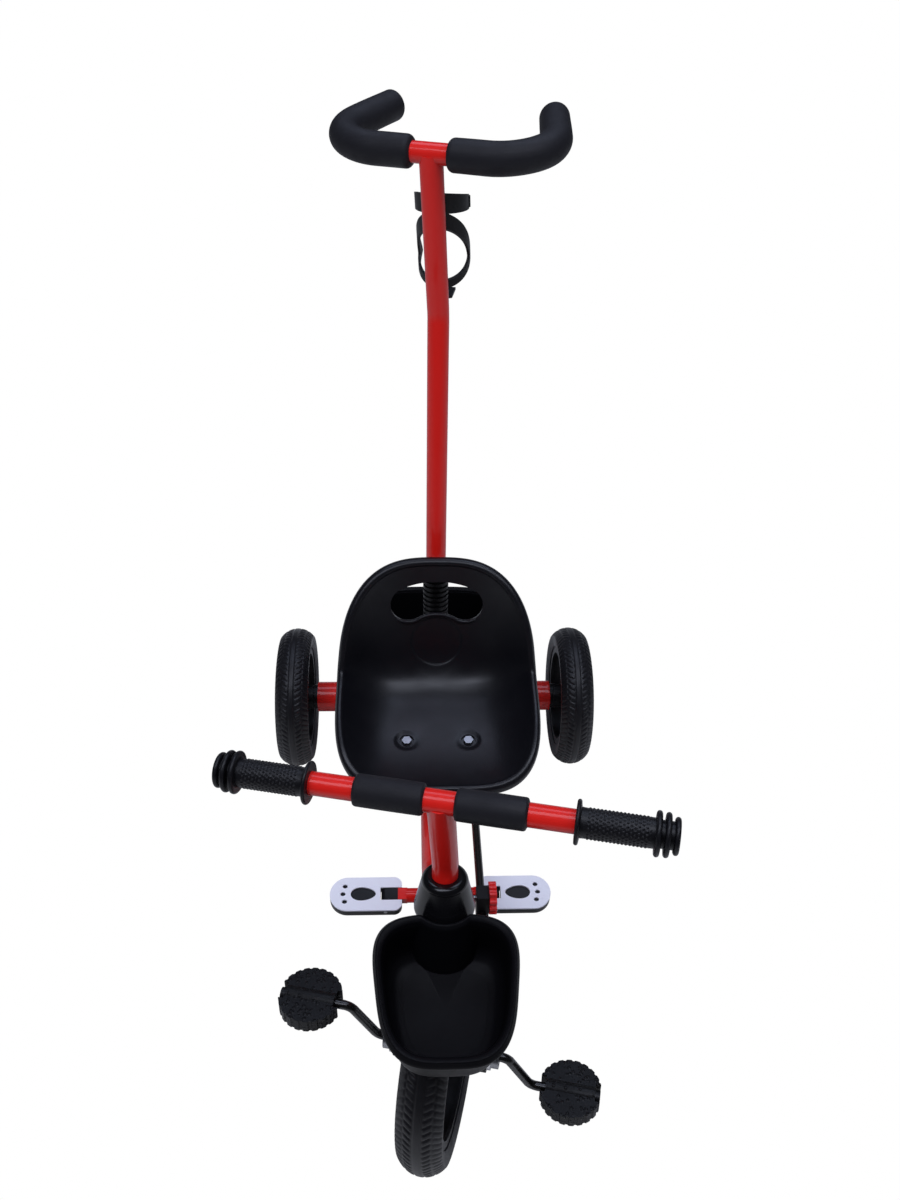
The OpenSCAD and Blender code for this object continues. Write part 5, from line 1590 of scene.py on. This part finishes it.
@dataclass(frozen=True)
class Shot:
    """Camera at the photo's place.

    Attributes:
        axle: Rear axle behind the row's origin, in metres.
        at: Place in metres, counted from under the rear axle.
        azimuth: Turn to the right of +Y, in degrees.
        pitch: Tilt below the horizon, in degrees.
        roll: Turn about the line of sight, in degrees.
        lens: Focal length in mm.
        sensor: Width of the sensor in mm.
        clip: Nearest distance that the camera sees, in metres.
    """

    axle: float
    at: tuple[float, float, float] = (-0.03093, -0.92347, 1.25598)
    azimuth: float = 3.042
    pitch: float = 46.077
    roll: float = 2.046
    lens: float = 30.867
    sensor: float = 36.0
    clip: float = 0.01

    def build(self) -> None:
        """Set up the camera."""
        lens = bpy.data.cameras.new("camera")
        lens.lens, lens.sensor_width, lens.sensor_fit = self.lens, self.sensor, "AUTO"
        lens.clip_start = self.clip
        camera = bpy.data.objects.new("camera", lens)
        camera.location = (self.at[0], self.at[1] + self.axle, self.at[2])
        turn = about_z(-self.azimuth) @ about_x(90 - self.pitch) @ about_z(self.roll)
        camera.rotation_euler = Matrix(turn.tolist()).to_euler()
        bpy.context.scene.collection.objects.link(camera)
        bpy.context.scene.camera = camera


def lug_material() -> bpy.types.Material:
    """Red paint in the middle of the footrest tube and black plastic on its two ends.

    Returns:
        The material, which changes colour at a distance from the middle plane.
    """
    red, black = FINISHES["red_paint"], FINISHES["black_plastic"]
    made = red.material()
    made.name = "steel_tube_red_with_moulded_lugs"
    tree = made.node_tree
    where = add_node(tree, "ShaderNodeTexCoord")
    parts = add_node(tree, "ShaderNodeSeparateXYZ", {"Vector": where.outputs["Object"]})
    out = add_node(tree, "ShaderNodeMath", {0: parts.outputs["X"]})
    out.operation = "ABSOLUTE"
    far = add_node(tree, "ShaderNodeMath", {0: out.outputs[0]}, {1: LUG_X * MM})
    far.operation = "GREATER_THAN"
    colours = {"Color1": linear(red.colour), "Color2": linear(black.colour)}
    mix = add_node(tree, "ShaderNodeMixRGB", {"Fac": far.outputs[0]}, colours)
    tree.links.new(mix.outputs[0], tree.nodes["Principled BSDF"].inputs["Base Color"])
    return made


def paint_frame(looks: Looks) -> None:
    """Give every CAD node its own finish, or else the material of its slot in the record.

    Args:
        looks: Materials by slot.
    """
    own = {finish: finish.material() for finish in dict.fromkeys(OWN_FINISHES.values())}
    special = {node: own[finish] for node, finish in OWN_FINISHES.items()} | {LUG_TUBE: lug_material()}
    slots = {part["node"]: part["material_slot"] for part in frame["record"]["subparts"]}
    for name, node in frame["nodes"].items():
        node.data.materials.clear()
        node.data.materials.append(special.get(name, looks[slots[name]]))
        LOG.info("%s: %s", name, slots[name])


def main() -> None:
    """Dress the trike, light it and set the camera."""
    logging.basicConfig(level=logging.INFO, format="%(name)s: %(message)s")
    bpy.context.scene.view_settings.view_transform = "Standard"
    looks = {slot: finish.material() for slot, finish in FINISHES.items()}
    paint_frame(looks)
    axle = float(packed(frame["joints"], "rear_left_spin")[1])
    Trike(axle / MM).build(looks)
    Studio().build()
    Shot(axle).build()


if __name__ == "__main__":
    main()
